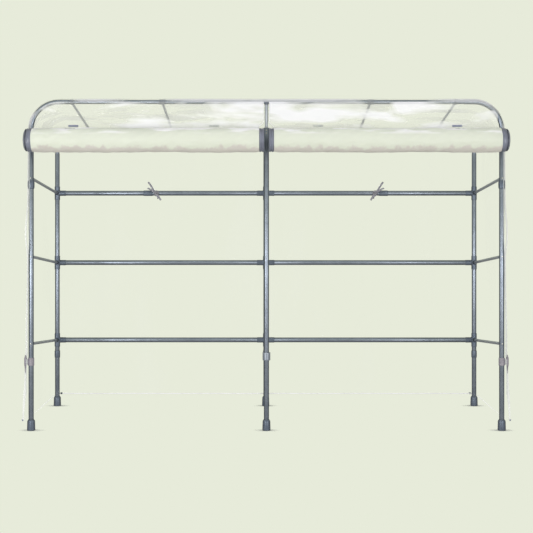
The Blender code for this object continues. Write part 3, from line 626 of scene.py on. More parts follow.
def lathe(name, profile, place, along, steps=36, bevel=0.0, closed=True):
    """Spins (distance along the axis, radius) points about an axis through place."""
    deselect()
    points = [Vector((radius, 0.0, distance)) for distance, radius in profile]
    if closed:
        points.append(points[0])
    bpy.ops.mesh.primitive_plane_add(size=0.001, location=(0, 0, 0))
    piece = bpy.context.object
    piece.name = name
    bpy.ops.object.mode_set(mode="EDIT")
    bpy.ops.mesh.select_all(action="SELECT")
    bpy.ops.mesh.merge(type="CENTER")
    bpy.ops.transform.translate(value=points[0])
    for start, end in zip(points, points[1:]):
        bpy.ops.mesh.extrude_region_move(TRANSFORM_OT_translate={"value": end - start})
    bpy.ops.mesh.select_all(action="SELECT")
    bpy.ops.mesh.spin(steps=steps, angle=2 * math.pi, center=(0, 0, 0), axis=(0, 0, 1))
    bpy.ops.mesh.select_all(action="SELECT")
    bpy.ops.mesh.remove_doubles(threshold=2e-6)
    bpy.ops.mesh.normals_make_consistent(inside=False)
    bpy.ops.object.mode_set(mode="OBJECT")
    if bevel:
        apply_modifier(piece, "BEVEL", width=bevel, segments=2, limit_method="ANGLE",
                       angle_limit=math.radians(40))
    piece.rotation_euler = Vector(along).to_track_quat("Z", "Y").to_euler()
    piece.location = place
    return settle(piece)

def pipe(name, start, end, radius, wall, bevel=0.0004):
    """A straight tube with a bore."""
    start, end = Vector(start), Vector(end)
    length = (end - start).length
    bore = radius - wall
    profile = ((0, radius), (length, radius), (length, bore), (0, bore))
    return lathe(name, profile, start, end - start, bevel=bevel)

print("helpers made: apply_modifier, lathe, pipe")

# %% [markdown]
# ## Posts and couplers
# Each post is two lengths of tube, joined in a sleeve. The photo shows the sleeves as
# slightly swelled rings, wide and plain on the middle post. Tube and sleeve could be one
# turned outline, but on the real frame they are separate pieces in their own materials,
# and so they are here.

# %% Posts
TUBE_R, RAIL_R, TUBE_WALL, SMALL_GAP = 0.0135, 0.0142, 0.0011, 0.0003

def sleeve(name, x, y, z, radius, height, swell, surface):
    bore = TUBE_R + SMALL_GAP
    half = height / 2
    rim = radius - swell
    shoulder = rim + swell * 0.6
    profile = ((-half, bore), (-half, rim), (-half * 0.8, shoulder), (-half * 0.3, radius),
               (half * 0.3, radius), (half * 0.8, shoulder), (half, rim), (half, bore))
    ring = lathe(name, profile, (x, y, z), Z_AXIS, bevel=0.0006)
    return dress(ring, "frame", surface, "moulded_plastic")

# Each coupler is (height of its middle, radius, swell, length).
FRONT_COUPLER = (1.298, 0.0178, 0.0018, 0.044)
CENTRE_COUPLER = (0.391, 0.0205, 0.0, 0.041)
BACK_COUPLER = (0.308, 0.0163, 0.0008, 0.041)
COUPLERS = {"front_left": FRONT_COUPLER, "front_right": FRONT_COUPLER,
            "front_centre": CENTRE_COUPLER, "back_left": BACK_COUPLER,
            "back_centre": BACK_COUPLER, "back_right": BACK_COUPLER}

for place, (coupler_z, coupler_r, swell, height) in COUPLERS.items():
    node = place + "_post"
    low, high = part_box(node)
    centre = (low + high) / 2
    post = pipe(place + "_tube", (centre.x, centre.y, low.z), (centre.x, centre.y, high.z),
                TUBE_R, TUBE_WALL)
    dress(post, "frame", powder_coat, "powder_coated_steel", node)
    sleeve(place + "_coupler", centre.x, centre.y, coupler_z, coupler_r, height, swell,
           lightened_bar_finish if place == "front_centre" else fitting_plastic)
print("posts:", len(COUPLERS))

# %% [markdown]
# ## Foot caps
# A moulded cup slips over each post's foot and keeps it out of the soil. It has a wide base,
# a slight taper that lets it leave the mould, and a rounded collar. It is turned on the
# lathe from that outline, hollow as the real one, so that the post stands inside it.

# %% Foot caps
# Height and radius along the outline: base, tapered side, collar, rim, bore and its floor.
CAP_OUTLINE = ((0, 0), (0, 0.0200), (0.0015, 0.0213), (0.006, 0.0215), (0.046, 0.0203),
               (0.050, 0.0198), (0.0565, 0.0160), (0.057, 0.0155), (0.057, 0.01385),
               (0.005, 0.01385), (0.005, 0))
for row, y in (("front", front_y), ("back", back_y)):
    for place in ("left", "centre", "right"):
        centre = middle(f"{row}_{place}_foot_cap")
        cap = lathe(f"{row}_{place}_cap", CAP_OUTLINE, (centre.x, centre.y, 0.0), Z_AXIS,
                    closed=False)
        dress(cap, "frame", fitting_plastic, "moulded_plastic", f"{row}_{place}_foot_cap")
    print(row, "foot caps at y", round(y, 4))

# %% [markdown]
# ## Hoops
# The hoops are steel tube, drawn round a former, so their bends are true arcs. A curve
# with a bevel would do, but its rings bunch at the arc's ends. So a ring of vertices is
# extruded along the straight and spun about the middle of the bend, as the former does,
# and a wall is then given to the open skin.

# %% Bent tubes
def bent_tube(name, start, moves, radius, wall, nodes):
    """moves are ("go", vector) and ("turn", centre, axis, angle) steps from start."""
    deselect()
    bpy.ops.mesh.primitive_circle_add(vertices=32, radius=radius, location=start)
    piece = bpy.context.object
    piece.name = name
    bpy.ops.object.transform_apply(location=True, rotation=True, scale=True)
    bpy.ops.object.mode_set(mode="EDIT")
    bpy.ops.mesh.select_all(action="SELECT")
    for move in moves:
        if move[0] == "go":
            bpy.ops.mesh.extrude_region_move(TRANSFORM_OT_translate={"value": move[1]})
        else:
            bpy.ops.mesh.spin(steps=16, angle=move[3], center=move[1], axis=move[2])
    bpy.ops.mesh.select_all(action="SELECT")
    bpy.ops.mesh.remove_doubles(threshold=2e-6)
    bpy.ops.mesh.normals_make_consistent(inside=False)
    bpy.ops.object.mode_set(mode="OBJECT")
    apply_modifier(piece, "SOLIDIFY", thickness=wall, offset=-1.0, use_even_offset=True)
    print(name, len(piece.data.polygons), "faces")
    return dress(settle(piece), "frame", powder_coat, "powder_coated_steel", *nodes)

BEND_R, BEND_WALL, PLUG_IN, TOP_R = 0.01205, 0.001, 0.050, 0.0107
for side, hand in SIDES:
    start = Vector((side * post_x, front_y, front_top_z - corner_r - PLUG_IN))
    turn_centre = Vector((side * corner_x, front_y, front_top_z - corner_r))
    bent_tube("front_" + hand + "_corner", start,
              (("go", Z_AXIS * PLUG_IN),
               ("turn", turn_centre, (0, side, 0), math.pi / 2),
               ("go", -X_AXIS * side * PLUG_IN)),
              BEND_R, BEND_WALL, ["front_" + hand + "_bend"])
back_turn_z = back_top_z - back_corner_r
start = Vector((-post_x, back_y, back_turn_z - PLUG_IN))
bent_tube("back_arch", start,
          (("go", Z_AXIS * PLUG_IN),
           ("turn", (-back_corner_x, back_y, back_turn_z), (0, -1, 0), math.pi / 2),
           ("go", X_AXIS * 2 * back_corner_x),
           ("turn", (back_corner_x, back_y, back_turn_z), (0, -1, 0), math.pi / 2),
           ("go", -Z_AXIS * PLUG_IN)),
          BEND_R, BEND_WALL, ["back_hoop"])
low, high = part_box("front_top_tube")
top = pipe("front_ridge", (low.x, front_y, front_top_z), (high.x, front_y, front_top_z),
           TOP_R, BEND_WALL)
dress(top, "frame", powder_coat, "powder_coated_steel", "front_top_tube")

# %% [markdown]
# ## Rails
# Six straight tubes tie the back posts together at three heights. Each is its own piece of
# tube, pushed into the fittings at its ends, so each is turned with an open bore.

# %% Rails
for level in LEVELS:
    for side, hand in SIDES:
        node = f"back_rail_{level}_{hand}"
        low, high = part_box(node)
        rail_z = (low.z + high.z) / 2
        rail = pipe(f"rail_{level}_{hand}", (low.x, back_y, rail_z), (high.x, back_y, rail_z),
                    RAIL_R, TUBE_WALL)
        dress(rail, "frame", powder_coat, "powder_coated_steel", node)
    print(level, "rails at z", round(rail_z, 4))

# %% [markdown]
# ## Side bars
# A thin bar slopes from each front outer post down to the fitting behind it. Its front end
# is pressed flat in the factory and screwed to the post. The bar is turned along the upright
# axis, rings near its tip are squeezed by resizing them, and only then is it laid along its
# slope: rings are easy to pick by their height while the bar stands upright.

# %% Side bars
BAR_R, TIP_FLAT, TIP_END, BAR_DROP = 0.008, 0.022, 0.050, 0.065
# Each squeeze is (lowest ring, highest ring, share of the width, share of the height).
SQUEEZES = ((-1, 0.023, 0.56, 1.125), (0.028, 0.030, 0.62, 1.125),
            (0.035, 0.037, 0.78, 1.125), (0.042, 0.044, 0.94, 1.06))
bar_way = Vector((0.0, back_y - front_y, -BAR_DROP)).normalized()

def side_bar(name, node, x, height):
    """A tube whose front end is squeezed flat, then laid along its slope."""
    tip_y = front_y + TUBE_R + SMALL_GAP + 0.0009
    length = (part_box(node)[1].y - tip_y) / bar_way.y - 0.001
    bore = BAR_R - 0.001
    profile = ((0, 0), (0, BAR_R), (TIP_FLAT, BAR_R), (0.029, BAR_R), (0.036, BAR_R),
               (0.043, BAR_R), (TIP_END, BAR_R), (length, BAR_R), (length, bore),
               (0.062, bore), (0.062, 0))
    bar = lathe(name, profile, (0, 0, 0), Z_AXIS, closed=False)
    bpy.ops.object.mode_set(mode="EDIT")
    for low, high, thin, tall in SQUEEZES:
        bpy.ops.mesh.select_all(action="DESELECT")
        mesh = bmesh.from_edit_mesh(bar.data)
        for vertex in mesh.verts:
            vertex.select = low <= vertex.co.z <= high
        mesh.select_flush_mode()
        bmesh.update_edit_mesh(bar.data)
        bpy.ops.transform.resize(value=(thin, tall, 1.0))
    bpy.ops.object.mode_set(mode="OBJECT")
    tip = Vector((x, tip_y, height + bar_way.z / bar_way.y * (tip_y - front_y)))
    up = bar_way.cross(X_AXIS)
    bar.matrix_world = Matrix.Translation(tip) @ Matrix(
        (X_AXIS, -up, bar_way)).transposed().to_4x4()
    return dress(settle(bar), "frame", lightened_bar_finish, "powder_coated_steel", node)

rail_heights = [middle(f"back_rail_{level}_left").z for level in LEVELS]
for side, hand in SIDES:
    for level, z in zip(LEVELS, rail_heights):
        side_bar(f"{hand}_side_bar_{level}", f"{hand}_bar_{level}", side * post_x,
                 z + BAR_DROP)
print("side bars slope", round(math.degrees(math.asin(-bar_way.z)), 1), "degrees")

# %% [markdown]
# ## Cross fittings
# A moulded fitting grips each back post where the rails and the side bar meet it. Its arms
# run into the sleeve with soft fillets, which a Boolean alone would leave out. So the solid
# arms are joined, remeshed into one skin and smoothed, and the holes are cut last, crisp.

# %% Joining and cutting
def combine(piece, tool, operation):
    """A Boolean whose tool is used up."""
    apply_modifier(piece, "BOOLEAN", object=tool, operation=operation, solver="EXACT")
    bpy.data.objects.remove(tool)

def fillet_skin(piece, voxel, rounds):
    apply_modifier(piece, "REMESH", mode="VOXEL", voxel_size=voxel)
    apply_modifier(piece, "SMOOTH", factor=0.5, iterations=rounds)

def rod(start, end, radius, steps=36):
    """A solid round bar, used up in a Boolean."""
    start, end = Vector(start), Vector(end)
    length = (end - start).length
    profile = ((0, 0), (0, radius), (length, radius), (length, 0))
    return lathe("rod", profile, start, end - start, steps, closed=False)

print("helpers made: combine, fillet_skin, rod")

# %% Cross fittings
FITTING_REACH, FITTING_HALF, FITTING_R, BAR_ARM_R = 0.052, 0.040, 0.0160, 0.0106
HOLE_FROM, HOLE_TO = 0.0164, 0.06

def fitting(name, x, z):
    centre = Vector((x, back_y, z))
    arms = [(X_AXIS * s, FITTING_R, RAIL_R + SMALL_GAP) for s in (-1, 1) if s * x <= 0.001]
    if abs(x) > 0.1:
        arms.append((-bar_way, BAR_ARM_R, BAR_R + SMALL_GAP))
    half = Z_AXIS * FITTING_HALF
    body = rod(centre - half, centre + half, FITTING_R)
    body.name = name
    for way, outer, _ in arms:
        combine(body, rod(centre, centre + way * FITTING_REACH, outer), "UNION")
    fillet_skin(body, 0.0016, 5)
    for way, _, hole in arms:
        combine(body, rod(centre + way * HOLE_FROM, centre + way * HOLE_TO, hole), "DIFFERENCE")
    combine(body, rod(centre - 2 * half, centre + 2 * half, TUBE_R + SMALL_GAP), "DIFFERENCE")
    return settle(body, 50)

def copy_of(piece, name, move):
    """A copy with its own mesh, moved in the mesh."""
    copied = piece.copy()
    copied.data = piece.data.copy()
    copied.name = name
    bpy.context.scene.collection.objects.link(copied)
    copied.data.transform(Matrix.Translation(move))
    return copied

for x, place in ((-post_x, "left"), (0.0, "centre"), (post_x, "right")):
    first = fitting(f"cross_{place}_bottom", x, rail_heights[0])
    made = [first] + [copy_of(first, f"cross_{place}_{level}", Z_AXIS * (z - rail_heights[0]))
                      for level, z in zip(LEVELS[1:], rail_heights[1:])]
    for piece, level in zip(made, LEVELS):
        dress(piece, "frame", fitting_plastic, "moulded_plastic", f"fitting_{place}_{level}")
    print("cross fittings", place, len(first.data.polygons), "faces each")

# %% [markdown]
# ## Rafters
# Thin rafters slope back from the front top tube. A tee at each end wraps round the tube,
# and the middle one also stands on a thin riser. Separate sleeves would leave a seam where
# the real tee has none, so bar, tees and riser are joined by Booleans, and the tubes'
# places are cut out of them last.

# %% Rafters and tees
RAFTER_R, SOCKET_R, SOCKET_REACH, SOCKET_LIP = 0.0065, 0.009, 0.034, 0.001
TEE_HALF, FRONT_TEE_R, BACK_TEE_R, CUT_HALF = 0.017, 0.0130, 0.0144, 0.04
RISER_FOOT, RISER_PLUG, RISER_NECK = 1.547, 0.0497, 0.0535
rafter_way = Vector((0.0, back_y - front_y, back_top_z - front_top_z))
span = rafter_way.length
rafter_way.normalize()

def sleeve_on(x, y, z, half, radius):
    return rod((x - half, y, z), (x + half, y, z), radius)

def rafter(name, node):
    low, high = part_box(node)
    x = (low.x + high.x) / 2
    half = min((high.x - low.x) / 2, TEE_HALF) if abs(x) > 0.01 else SOCKET_R
    front = Vector((x, front_y, front_top_z))
    half_profile = [(0.002, 0), (0.002, SOCKET_R), (SOCKET_REACH - SOCKET_LIP, SOCKET_R),
                    (SOCKET_REACH, SOCKET_R - SOCKET_LIP), (SOCKET_REACH, RAFTER_R)]
    profile = half_profile + [(span - along, r) for along, r in reversed(half_profile)]
    bar = lathe(name, profile, front, rafter_way, closed=False)
    combine(bar, sleeve_on(x, front_y, front_top_z, half, FRONT_TEE_R), "UNION")
    combine(bar, sleeve_on(x, back_y, back_top_z, half, BACK_TEE_R), "UNION")
    if abs(x) < 0.01:
        height = front_top_z - RISER_FOOT
        riser = lathe("riser", ((0, 0), (0, BEND_R), (RISER_PLUG, BEND_R),
                                (RISER_NECK, BAR_R), (height, BAR_R), (height, 0)),
                      (x, front_y, RISER_FOOT), Z_AXIS, closed=False)
        combine(bar, riser, "UNION")
    front_cut = sleeve_on(x, front_y, front_top_z, CUT_HALF, TOP_R + SMALL_GAP)
    combine(bar, front_cut, "DIFFERENCE")
    back_cut = sleeve_on(x, back_y, back_top_z, CUT_HALF, BEND_R + SMALL_GAP)
    combine(bar, back_cut, "DIFFERENCE")
    return dress(settle(bar), "frame", hazed_rafter_finish, "powder_coated_steel", node)

for place in ("left_outer", "left", "centre", "right", "right_outer"):
    rafter("roof_bar_" + place, "rafter_" + place)
print("rafters span", round(span, 3), "m")

# %% [markdown]
# ## Roll-up gear
# Each curtain is wound on a roller. A moulded disc closes the roll's inner end, and a
# spool at the outer end takes the pull cord in a groove. A cap carries the roller. All
# three are turned on the lathe, because grooves, rims and dished faces are then points of
# one outline. The roller and spool turn in use, so they ride with the roll, and the cap
# rides with the carrier.

# %% Rollers with their discs
disc_low, disc_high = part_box("right_roller")
DISC_R, DISC_GROOVE_R, DISC_THICK = 0.0620, 0.0596, 0.0262
ROLLER_R, ROLLER_BORE = 0.015, 0.0135

def roller(side, hand):
    """The whole roller tube with the fluted disc at its inner end."""
    length = disc_high.x - disc_low.x
    profile = ((0, ROLLER_BORE), (0, 0.030), (0.0015, 0.033), (0.0015, 0.052), (0, 0.055),
               (0, 0.0585), (0.0035, DISC_R), (0.0095, DISC_R), (0.0110, DISC_GROOVE_R),
               (0.0152, DISC_GROOVE_R), (0.0167, DISC_R), (DISC_THICK - 0.003, DISC_R),
               (DISC_THICK, 0.059), (DISC_THICK, ROLLER_R), (length, ROLLER_R),
               (length, ROLLER_BORE))
    tube = lathe(hand + "_roller_tube", profile, (side * disc_low.x, roll_y, roll_z),
                 X_AXIS * side, 72, bevel=0.0005)
    return dress(tube, hand + "_roll", disc_plastic, "moulded_plastic", hand + "_roller")

print("a roller is", round(disc_high.x - disc_low.x, 3), "m long")

# %% Cord spools
spool_low, spool_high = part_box("right_cord_spool")

def spool(side, hand):
    """Two flanges with the cord's groove between them, and a dished outer face."""
    end = spool_high.x - spool_low.x
    hole = ROLLER_R + SMALL_GAP
    profile = ((0, hole), (0, 0.0600), (0.0015, 0.0618), (0.010, 0.0625), (0.0215, 0.0620),
               (0.0247, 0.0596), (0.0247, 0.050), (0.0307, 0.050), (0.0307, 0.0585),
               (0.0325, 0.0592), (end - 0.0095, 0.0575), (end - 0.0055, 0.0535),
               (end - 0.0025, 0.0470), (end - 0.0006, 0.0380), (end, 0.0300),
               (end - 0.0010, 0.0270), (end, 0.0240), (end, hole))
    wheel = lathe(hand + "_spool", profile, (side * spool_low.x, roll_y, roll_z),
                  X_AXIS * side, 72, bevel=0.0004)
    return dress(wheel, hand + "_roll", disc_plastic, "moulded_plastic",
                 hand + "_cord_spool")

print("a spool is", round(spool_high.x - spool_low.x, 4), "m long")

# %% Axle caps
PLUG_R = 0.0131

def axle_cap(side, hand):
    """A plug in the roller's end with a shouldered head."""
    cap_low, cap_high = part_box(hand + "_axle_cap")
    profile = ((0, 0), (0, PLUG_R - 0.001), (0.001, PLUG_R), (0.035, PLUG_R), (0.035, 0.0185),
               (0.036, 0.0198), (0.038, 0.0192), (0.039, 0.0170), (0.039, 0.006),
               (0.0380, 0.0055), (0.0380, 0))
    inner = cap_low.x if side > 0 else cap_high.x
    cap = lathe(hand + "_end_cap", profile, (inner, roll_y, roll_z), X_AXIS * side, 48,
                closed=False)
    return dress(cap, hand + "_carrier", fitting_plastic, "moulded_plastic",
                 hand + "_axle_cap")

for side, hand in SIDES:
    gear = [make(side, hand).name for make in (roller, spool, axle_cap)]
    print("on the", hand, "at x", round(disc_low.x, 4), "to", round(spool_high.x, 4), gear)

# %% [markdown]
# ## Cleats
# A clamp round each front outer post carries a small horn, which the cord is wound on. It is
# one moulding with soft inner corners. So a sleeve, a short block and a tapered horn are
# joined, remeshed into one skin and smoothed, as the cross fittings were, and the post's
# place is cut out last.

# %% Cleats
CLAMP_LOW, CLAMP_HIGH, CLAMP_R, HORN_OUT = 0.342, 0.383, 0.0163, 0.0306
STEM_MIDDLE, STEM_SIZE = 0.0225, (0.019, 0.0135, 0.027)

def cleat(side, hand):
    """A clamp with a horn: sleeve, stem and spindle joined into one moulded skin."""
    x = side * post_x
    clamp = rod((x, front_y, CLAMP_LOW), (x, front_y, CLAMP_HIGH), CLAMP_R)
    clamp.name = hand + "_cleat"
    deselect()
    bpy.ops.mesh.primitive_cube_add(size=1.0,
                                    location=(x + side * STEM_MIDDLE, front_y, CLEAT_Z))
    stem = bpy.context.object
    stem.scale = STEM_SIZE
    bpy.ops.object.transform_apply(location=True, rotation=True, scale=True)
    apply_modifier(stem, "BEVEL", width=0.003, segments=2)
    combine(clamp, stem, "UNION")
    horn = lathe("horn", ((-0.0625, 0), (-0.0625, 0.0014), (-0.040, 0.0030), (-0.024, 0.0045),
                          (-0.019, 0.0064), (0.019, 0.0064), (0.024, 0.0042), (0.0365, 0.0016),
                          (0.0365, 0)),
                 (x + side * HORN_OUT, front_y, CLEAT_Z), Z_AXIS, 20, closed=False)
    combine(clamp, horn, "UNION")
    fillet_skin(clamp, 0.0008, 3)
    post_cut = rod((x, front_y, 0.33), (x, front_y, 0.40), TUBE_R + SMALL_GAP)
    combine(clamp, post_cut, "DIFFERENCE")
    return dress(settle(clamp, 50), "frame", cleat_plastic, "moulded_plastic",
                 hand + "_cleat_clamp")

for side, hand in SIDES:
    print(cleat(side, hand).name, "made")

# %% [markdown]
# ## Sheets
# The film hangs as the frame lets it: over the hoops, down the back and down the sides. A
# cloth simulation would settle nearly on the same lines, since the film is stretched. So
# each sheet is a fine grid of points worked out from the frame. It is one layer, because
# two layers of a clear skin would show every streak twice.

# %% Sheets as grids
def grid_piece(name, rows, flip=False):
    """A sheet through rows of points, with its UV map running from 0 to 1 along both ways."""
    mesh = bmesh.new()
    lines = [[mesh.verts.new(point) for point in row] for row in rows]
    uv = mesh.loops.layers.uv.new("cloth")
    across, along = len(rows[0]), len(rows)
    for i in range(along - 1):
        for j in range(across - 1):
            corners = [(i, j), (i, j + 1), (i + 1, j + 1), (i + 1, j)]
            if flip:
                corners.reverse()
            face = mesh.faces.new([lines[a][b] for a, b in corners])
            for loop, (a, b) in zip(face.loops, corners):
                loop[uv].uv = (b / (across - 1), a / (along - 1))
    made = bpy.data.meshes.new(name)
    mesh.to_mesh(made)
    mesh.free()
    piece = bpy.data.objects.new(name, made)
    bpy.context.scene.collection.objects.link(piece)
    return settle(piece, 180)

def area_of(piece):
    return sum(face.area for face in piece.data.polygons)

def ripple(x, y, z, depth, seed):
    return depth * noise.noise(Vector((x, y, z)) + Vector((seed, 1.7 * seed, 0.3)))

CORNER_STEPS, FLAT_STEPS = 12, 96
# A wall stops this much short of the roof's edge, so that no two sheets share a line.
TUCK = 0.0003

def hoop_line(radius):
    """(x, drop below the top tube, outward normal) along a hoop, from left to right."""
    line = []
    straight = post_x - radius
    for i in range(CORNER_STEPS + 1):
        a = math.pi / 2 * i / CORNER_STEPS
        line.append((-straight - radius * math.cos(a), radius * (math.sin(a) - 1),
                     Vector((-math.cos(a), 0, math.sin(a)))))
    for i in range(1, FLAT_STEPS):
        line.append((-straight + 2 * straight * i / FLAT_STEPS, 0.0, Z_AXIS.copy()))
    for x, drop, normal in reversed(line[:CORNER_STEPS + 1]):
        line.append((-x, drop, Vector((-normal.x, 0, normal.z))))
    return line

print("hoop line:", len(hoop_line(corner_r)), "points across")

# %% [markdown]
# ## Roof sheet
# The roof film is pulled from the front top tube to the back one and wraps a little round
# both. It touches the rafters and sags about 6 mm between them. Rows of points run from
# front to back over the two hoops, with the sag and a slight ripple worked into them.

# %% Roof
OFFSET, ROOF_SAG, HALF_BAY, ROOF_STEPS = 0.0172, 0.006, 0.275, 32
WRAP_TURNS = (0.0, 0.4, 0.8, 1.2)
rafter_xs = [middle("rafter_" + p).x for p in ("left_outer", "left", "centre", "right",
                                               "right_outer")]
roof_rows = []
hoops = zip(hoop_line(corner_r), hoop_line(back_corner_r))
for (x, drop, normal), (back_x, back_drop, _) in hoops:
    front = Vector((x, front_y, front_top_z + drop))
    back = Vector((back_x, back_y, back_top_z + back_drop))
    nearest = min(abs(x - beam) for beam in rafter_xs)
    sag = ROOF_SAG * min(nearest / HALF_BAY, 1.0) * (1.0 if drop == 0.0 else 0.0)
    row = [front + (normal * math.sin(t) - Y_AXIS * math.cos(t)) * OFFSET for t in WRAP_TURNS]
    for k in range(ROOF_STEPS + 1):
        v = k / ROOF_STEPS
        held = math.sin(math.pi * v)
        lift = ripple(x * 3.1, v * 5.0, drop * 8, 0.003, 2.0) * held * min(nearest / 0.05, 1.0)
        row.append(front.lerp(back, v) + normal * (OFFSET + lift) - Z_AXIS * sag * held)
    row += [back + (normal * math.sin(t) + Y_AXIS * math.cos(t)) * OFFSET
            for t in reversed(WRAP_TURNS)]
    roof_rows.append(row)
roof = grid_piece("roof_sheet", roof_rows, flip=True)
dress(roof, "frame", roof_surface, "clear_film", "roof_film")
print("roof sheet", round(area_of(roof), 3), "square metres")

# %% [markdown]
# ## Side walls
# Each side film hangs from the roof's edge, turns round the back post and ends in a free
# edge behind the front post. Near that edge it stands away from the post in folds, which
# the photo shows as pale marks beside the posts. A table gives the folds' depth by height,
# and it fades out along the wall.

# %% Side walls
WALL_ROWS, WALL_COLUMNS, TURN_COLUMNS = 72, 48, 6
# Each fold is (height, how far the free edge stands out there).
SIDE_FOLDS = ((0.06, 0.031), (0.26, 0.020), (0.45, 0.013), (0.90, 0.005), (1.03, 0.017),
              (1.24, 0.003), (1.60, 0.0))
SIDE_HEM_Z, HEM_RISE, BACK_HEM_Z, SIDE_EDGE, FOLD_REACH = 0.052, 0.009, 0.069, 0.018, 0.34
WALL_DEPTH = back_y - front_y - SIDE_EDGE

def fold_depth(z):
    for (low, first), (high, second) in zip(SIDE_FOLDS, SIDE_FOLDS[1:]):
        if z <= high:
            share = max((z - low) / (high - low), 0.0)
            return first + (second - first) * (1 - math.cos(math.pi * share)) / 2
    return 0.0

def side_point(side, behind, share, out_more=0.0):
    """A point of the side wall, behind the front post, at a share of its height."""
    depth = back_y - front_y
    front_top = front_top_z - corner_r
    top = front_top + (back_top_z - back_corner_r - front_top) * behind / depth
    foot = SIDE_HEM_Z + HEM_RISE * behind / depth
    z = foot + (top - TUCK - foot) * share
    fade = max(1 - behind / FOLD_REACH, 0.0) ** 2
    loose = min(behind / 0.1, 1.0) * min((depth - behind) / 0.1, 1.0) * (1 - share) ** 0.5
    flutter = abs(ripple(behind * 7, z * 1.3, side, 0.004, 5.0)) * loose
    out = OFFSET + fade * fold_depth(z) + flutter
    return Vector((side * (post_x + out + out_more), front_y + behind, z))

for side, hand in SIDES:
    rows = []
    for k in range(WALL_ROWS + 1):
        share = k / WALL_ROWS
        row = [side_point(side, SIDE_EDGE + WALL_DEPTH * j / WALL_COLUMNS, share)
               for j in range(WALL_COLUMNS + 1)]
        z = row[-1].z
        for step in range(1, TURN_COLUMNS + 1):
            a = math.pi / 2 * step / TURN_COLUMNS
            row.append(Vector((side * (post_x + OFFSET * math.cos(a)),
                               back_y + OFFSET * math.sin(a), z)))
        rows.append(row)
    wall = grid_piece(hand + "_wall_sheet", rows, flip=side < 0)
    dress(wall, "frame", wall_surface, "clear_film", hand + "_side_film")
    print(wall.name, round(area_of(wall), 3), "square metres")

# %% [markdown]
# ## Back wall
# The back film hangs straight from the back hoop to a hem just above the ground. Its rows
# follow the hoop's line, scaled down the height, with shallow folds that grow to the hem.

# %% Back wall
BACK_STEPS = 40
back_rows = []
line = hoop_line(back_corner_r)
for k in range(BACK_STEPS + 1):
    share = k / BACK_STEPS
    row = []
    for i, (x, drop, _) in enumerate(line):
        top = back_top_z + drop - TUCK
        edge = min(i, len(line) - 1 - i)
        x = x if edge else math.copysign(post_x - TUCK, x)
        fold = 0.0022 * (1 - share) ** 2 * min(edge / 4, 1.0) * (1 + math.sin(x * 14.0))
        row.append(Vector((x, back_y + OFFSET + fold, BACK_HEM_Z + (top - BACK_HEM_Z) * share)))
    back_rows.append(row)
back_wall = grid_piece("back_wall_sheet", back_rows, flip=True)
dress(back_wall, "frame", wall_surface, "clear_film", "back_film")
print("back wall", round(area_of(back_wall), 3), "square metres")

# %% [markdown]
# ## Curtains
# Each curtain hangs in one clear layer from the top tube to its roll. Its outer edge
# follows the hoop's corner and its inner one spreads to the middle post. It is a grid, as
# the other sheets are. On the real shelter its top stays on the frame and its foot goes
# with the roll.

# %% Curtains
CURTAIN_IN, CURTAIN_OUT = 0.0385, 1.2185
CURTAIN_ROWS, CURTAIN_COLUMNS, CURTAIN_AHEAD = 40, 60, 0.0176

def curtain_edge(z):
    up = z - (front_top_z - corner_r)
    if up <= 0.0:
        return CURTAIN_OUT
    return min(CURTAIN_OUT, corner_x + math.sqrt(max((corner_r * 0.99) ** 2 - up ** 2, 0.0)))

def curtain_start(z):
    """The inner edge spreads to the middle post above the discs."""
    share = min(max((z - roll_z - 0.072) / 0.03, 0.0), 1.0)
    return CURTAIN_IN - 0.024 * share * share * (3 - 2 * share)

for side, hand in SIDES:
    rows = []
    for k in range(CURTAIN_ROWS + 1):
        up = k / CURTAIN_ROWS
        z = roll_z + (front_top_z - 0.0004 - roll_z) * up
        edge = curtain_edge(z)
        first = curtain_start(z)
        row = []
        for j in range(CURTAIN_COLUMNS + 1):
            x = first + (edge - first) * j / CURTAIN_COLUMNS
            wave = 0.0006 * math.sin(9 * x + 14 * z) * math.sin(math.pi * up)
            row.append(Vector((side * x, front_y - CURTAIN_AHEAD + wave, z)))
        rows.append(row)
    curtain = grid_piece(hand + "_curtain_sheet", rows, flip=side < 0)
    paint(curtain, curtain_surface)
    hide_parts(hand + "_curtain")
    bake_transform(curtain)
    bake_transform(cords[hand])
    print(curtain.name, round(area_of(curtain), 3), "square metres")

# %% [markdown]
# ## Rolls
# The rest of the curtain is wound on the roller. Its layers can't be told apart, so the roll
# is one closed skin round the roller's bore. Its radius swells, twists and creases a little
# along its length, which keeps it from looking like a plain cylinder.

# %% Rolls
ROLL_R = 0.0640
# Each fold is (depth, waves round the roll, turn along it, start).
ROLL_FOLDS = ((0.0011, 2, 9.0, 0.4), (0.0008, 3, -14.0, 1.9), (0.0006, 5, 41.0, 0.0),
              (0.0004, 9, 97.0, 2.0))
ROLL_STEPS, ROLL_SIDES, ROLL_BORE = 240, 96, 0.0154

def roll_radius(angle, x):
    r = ROLL_R + sum(depth * math.sin(waves * angle + run * x + start)
                     for depth, waves, run, start in ROLL_FOLDS)
    place = Vector((x * 9.0, math.cos(angle) * 1.1, math.sin(angle) * 1.1))
    crease = 1 - abs(noise.noise(place)) * 4
    return r + 0.0008 * max(crease, 0.0) ** 2 + 0.0005 * noise.noise(place * 3.1) - 0.0008

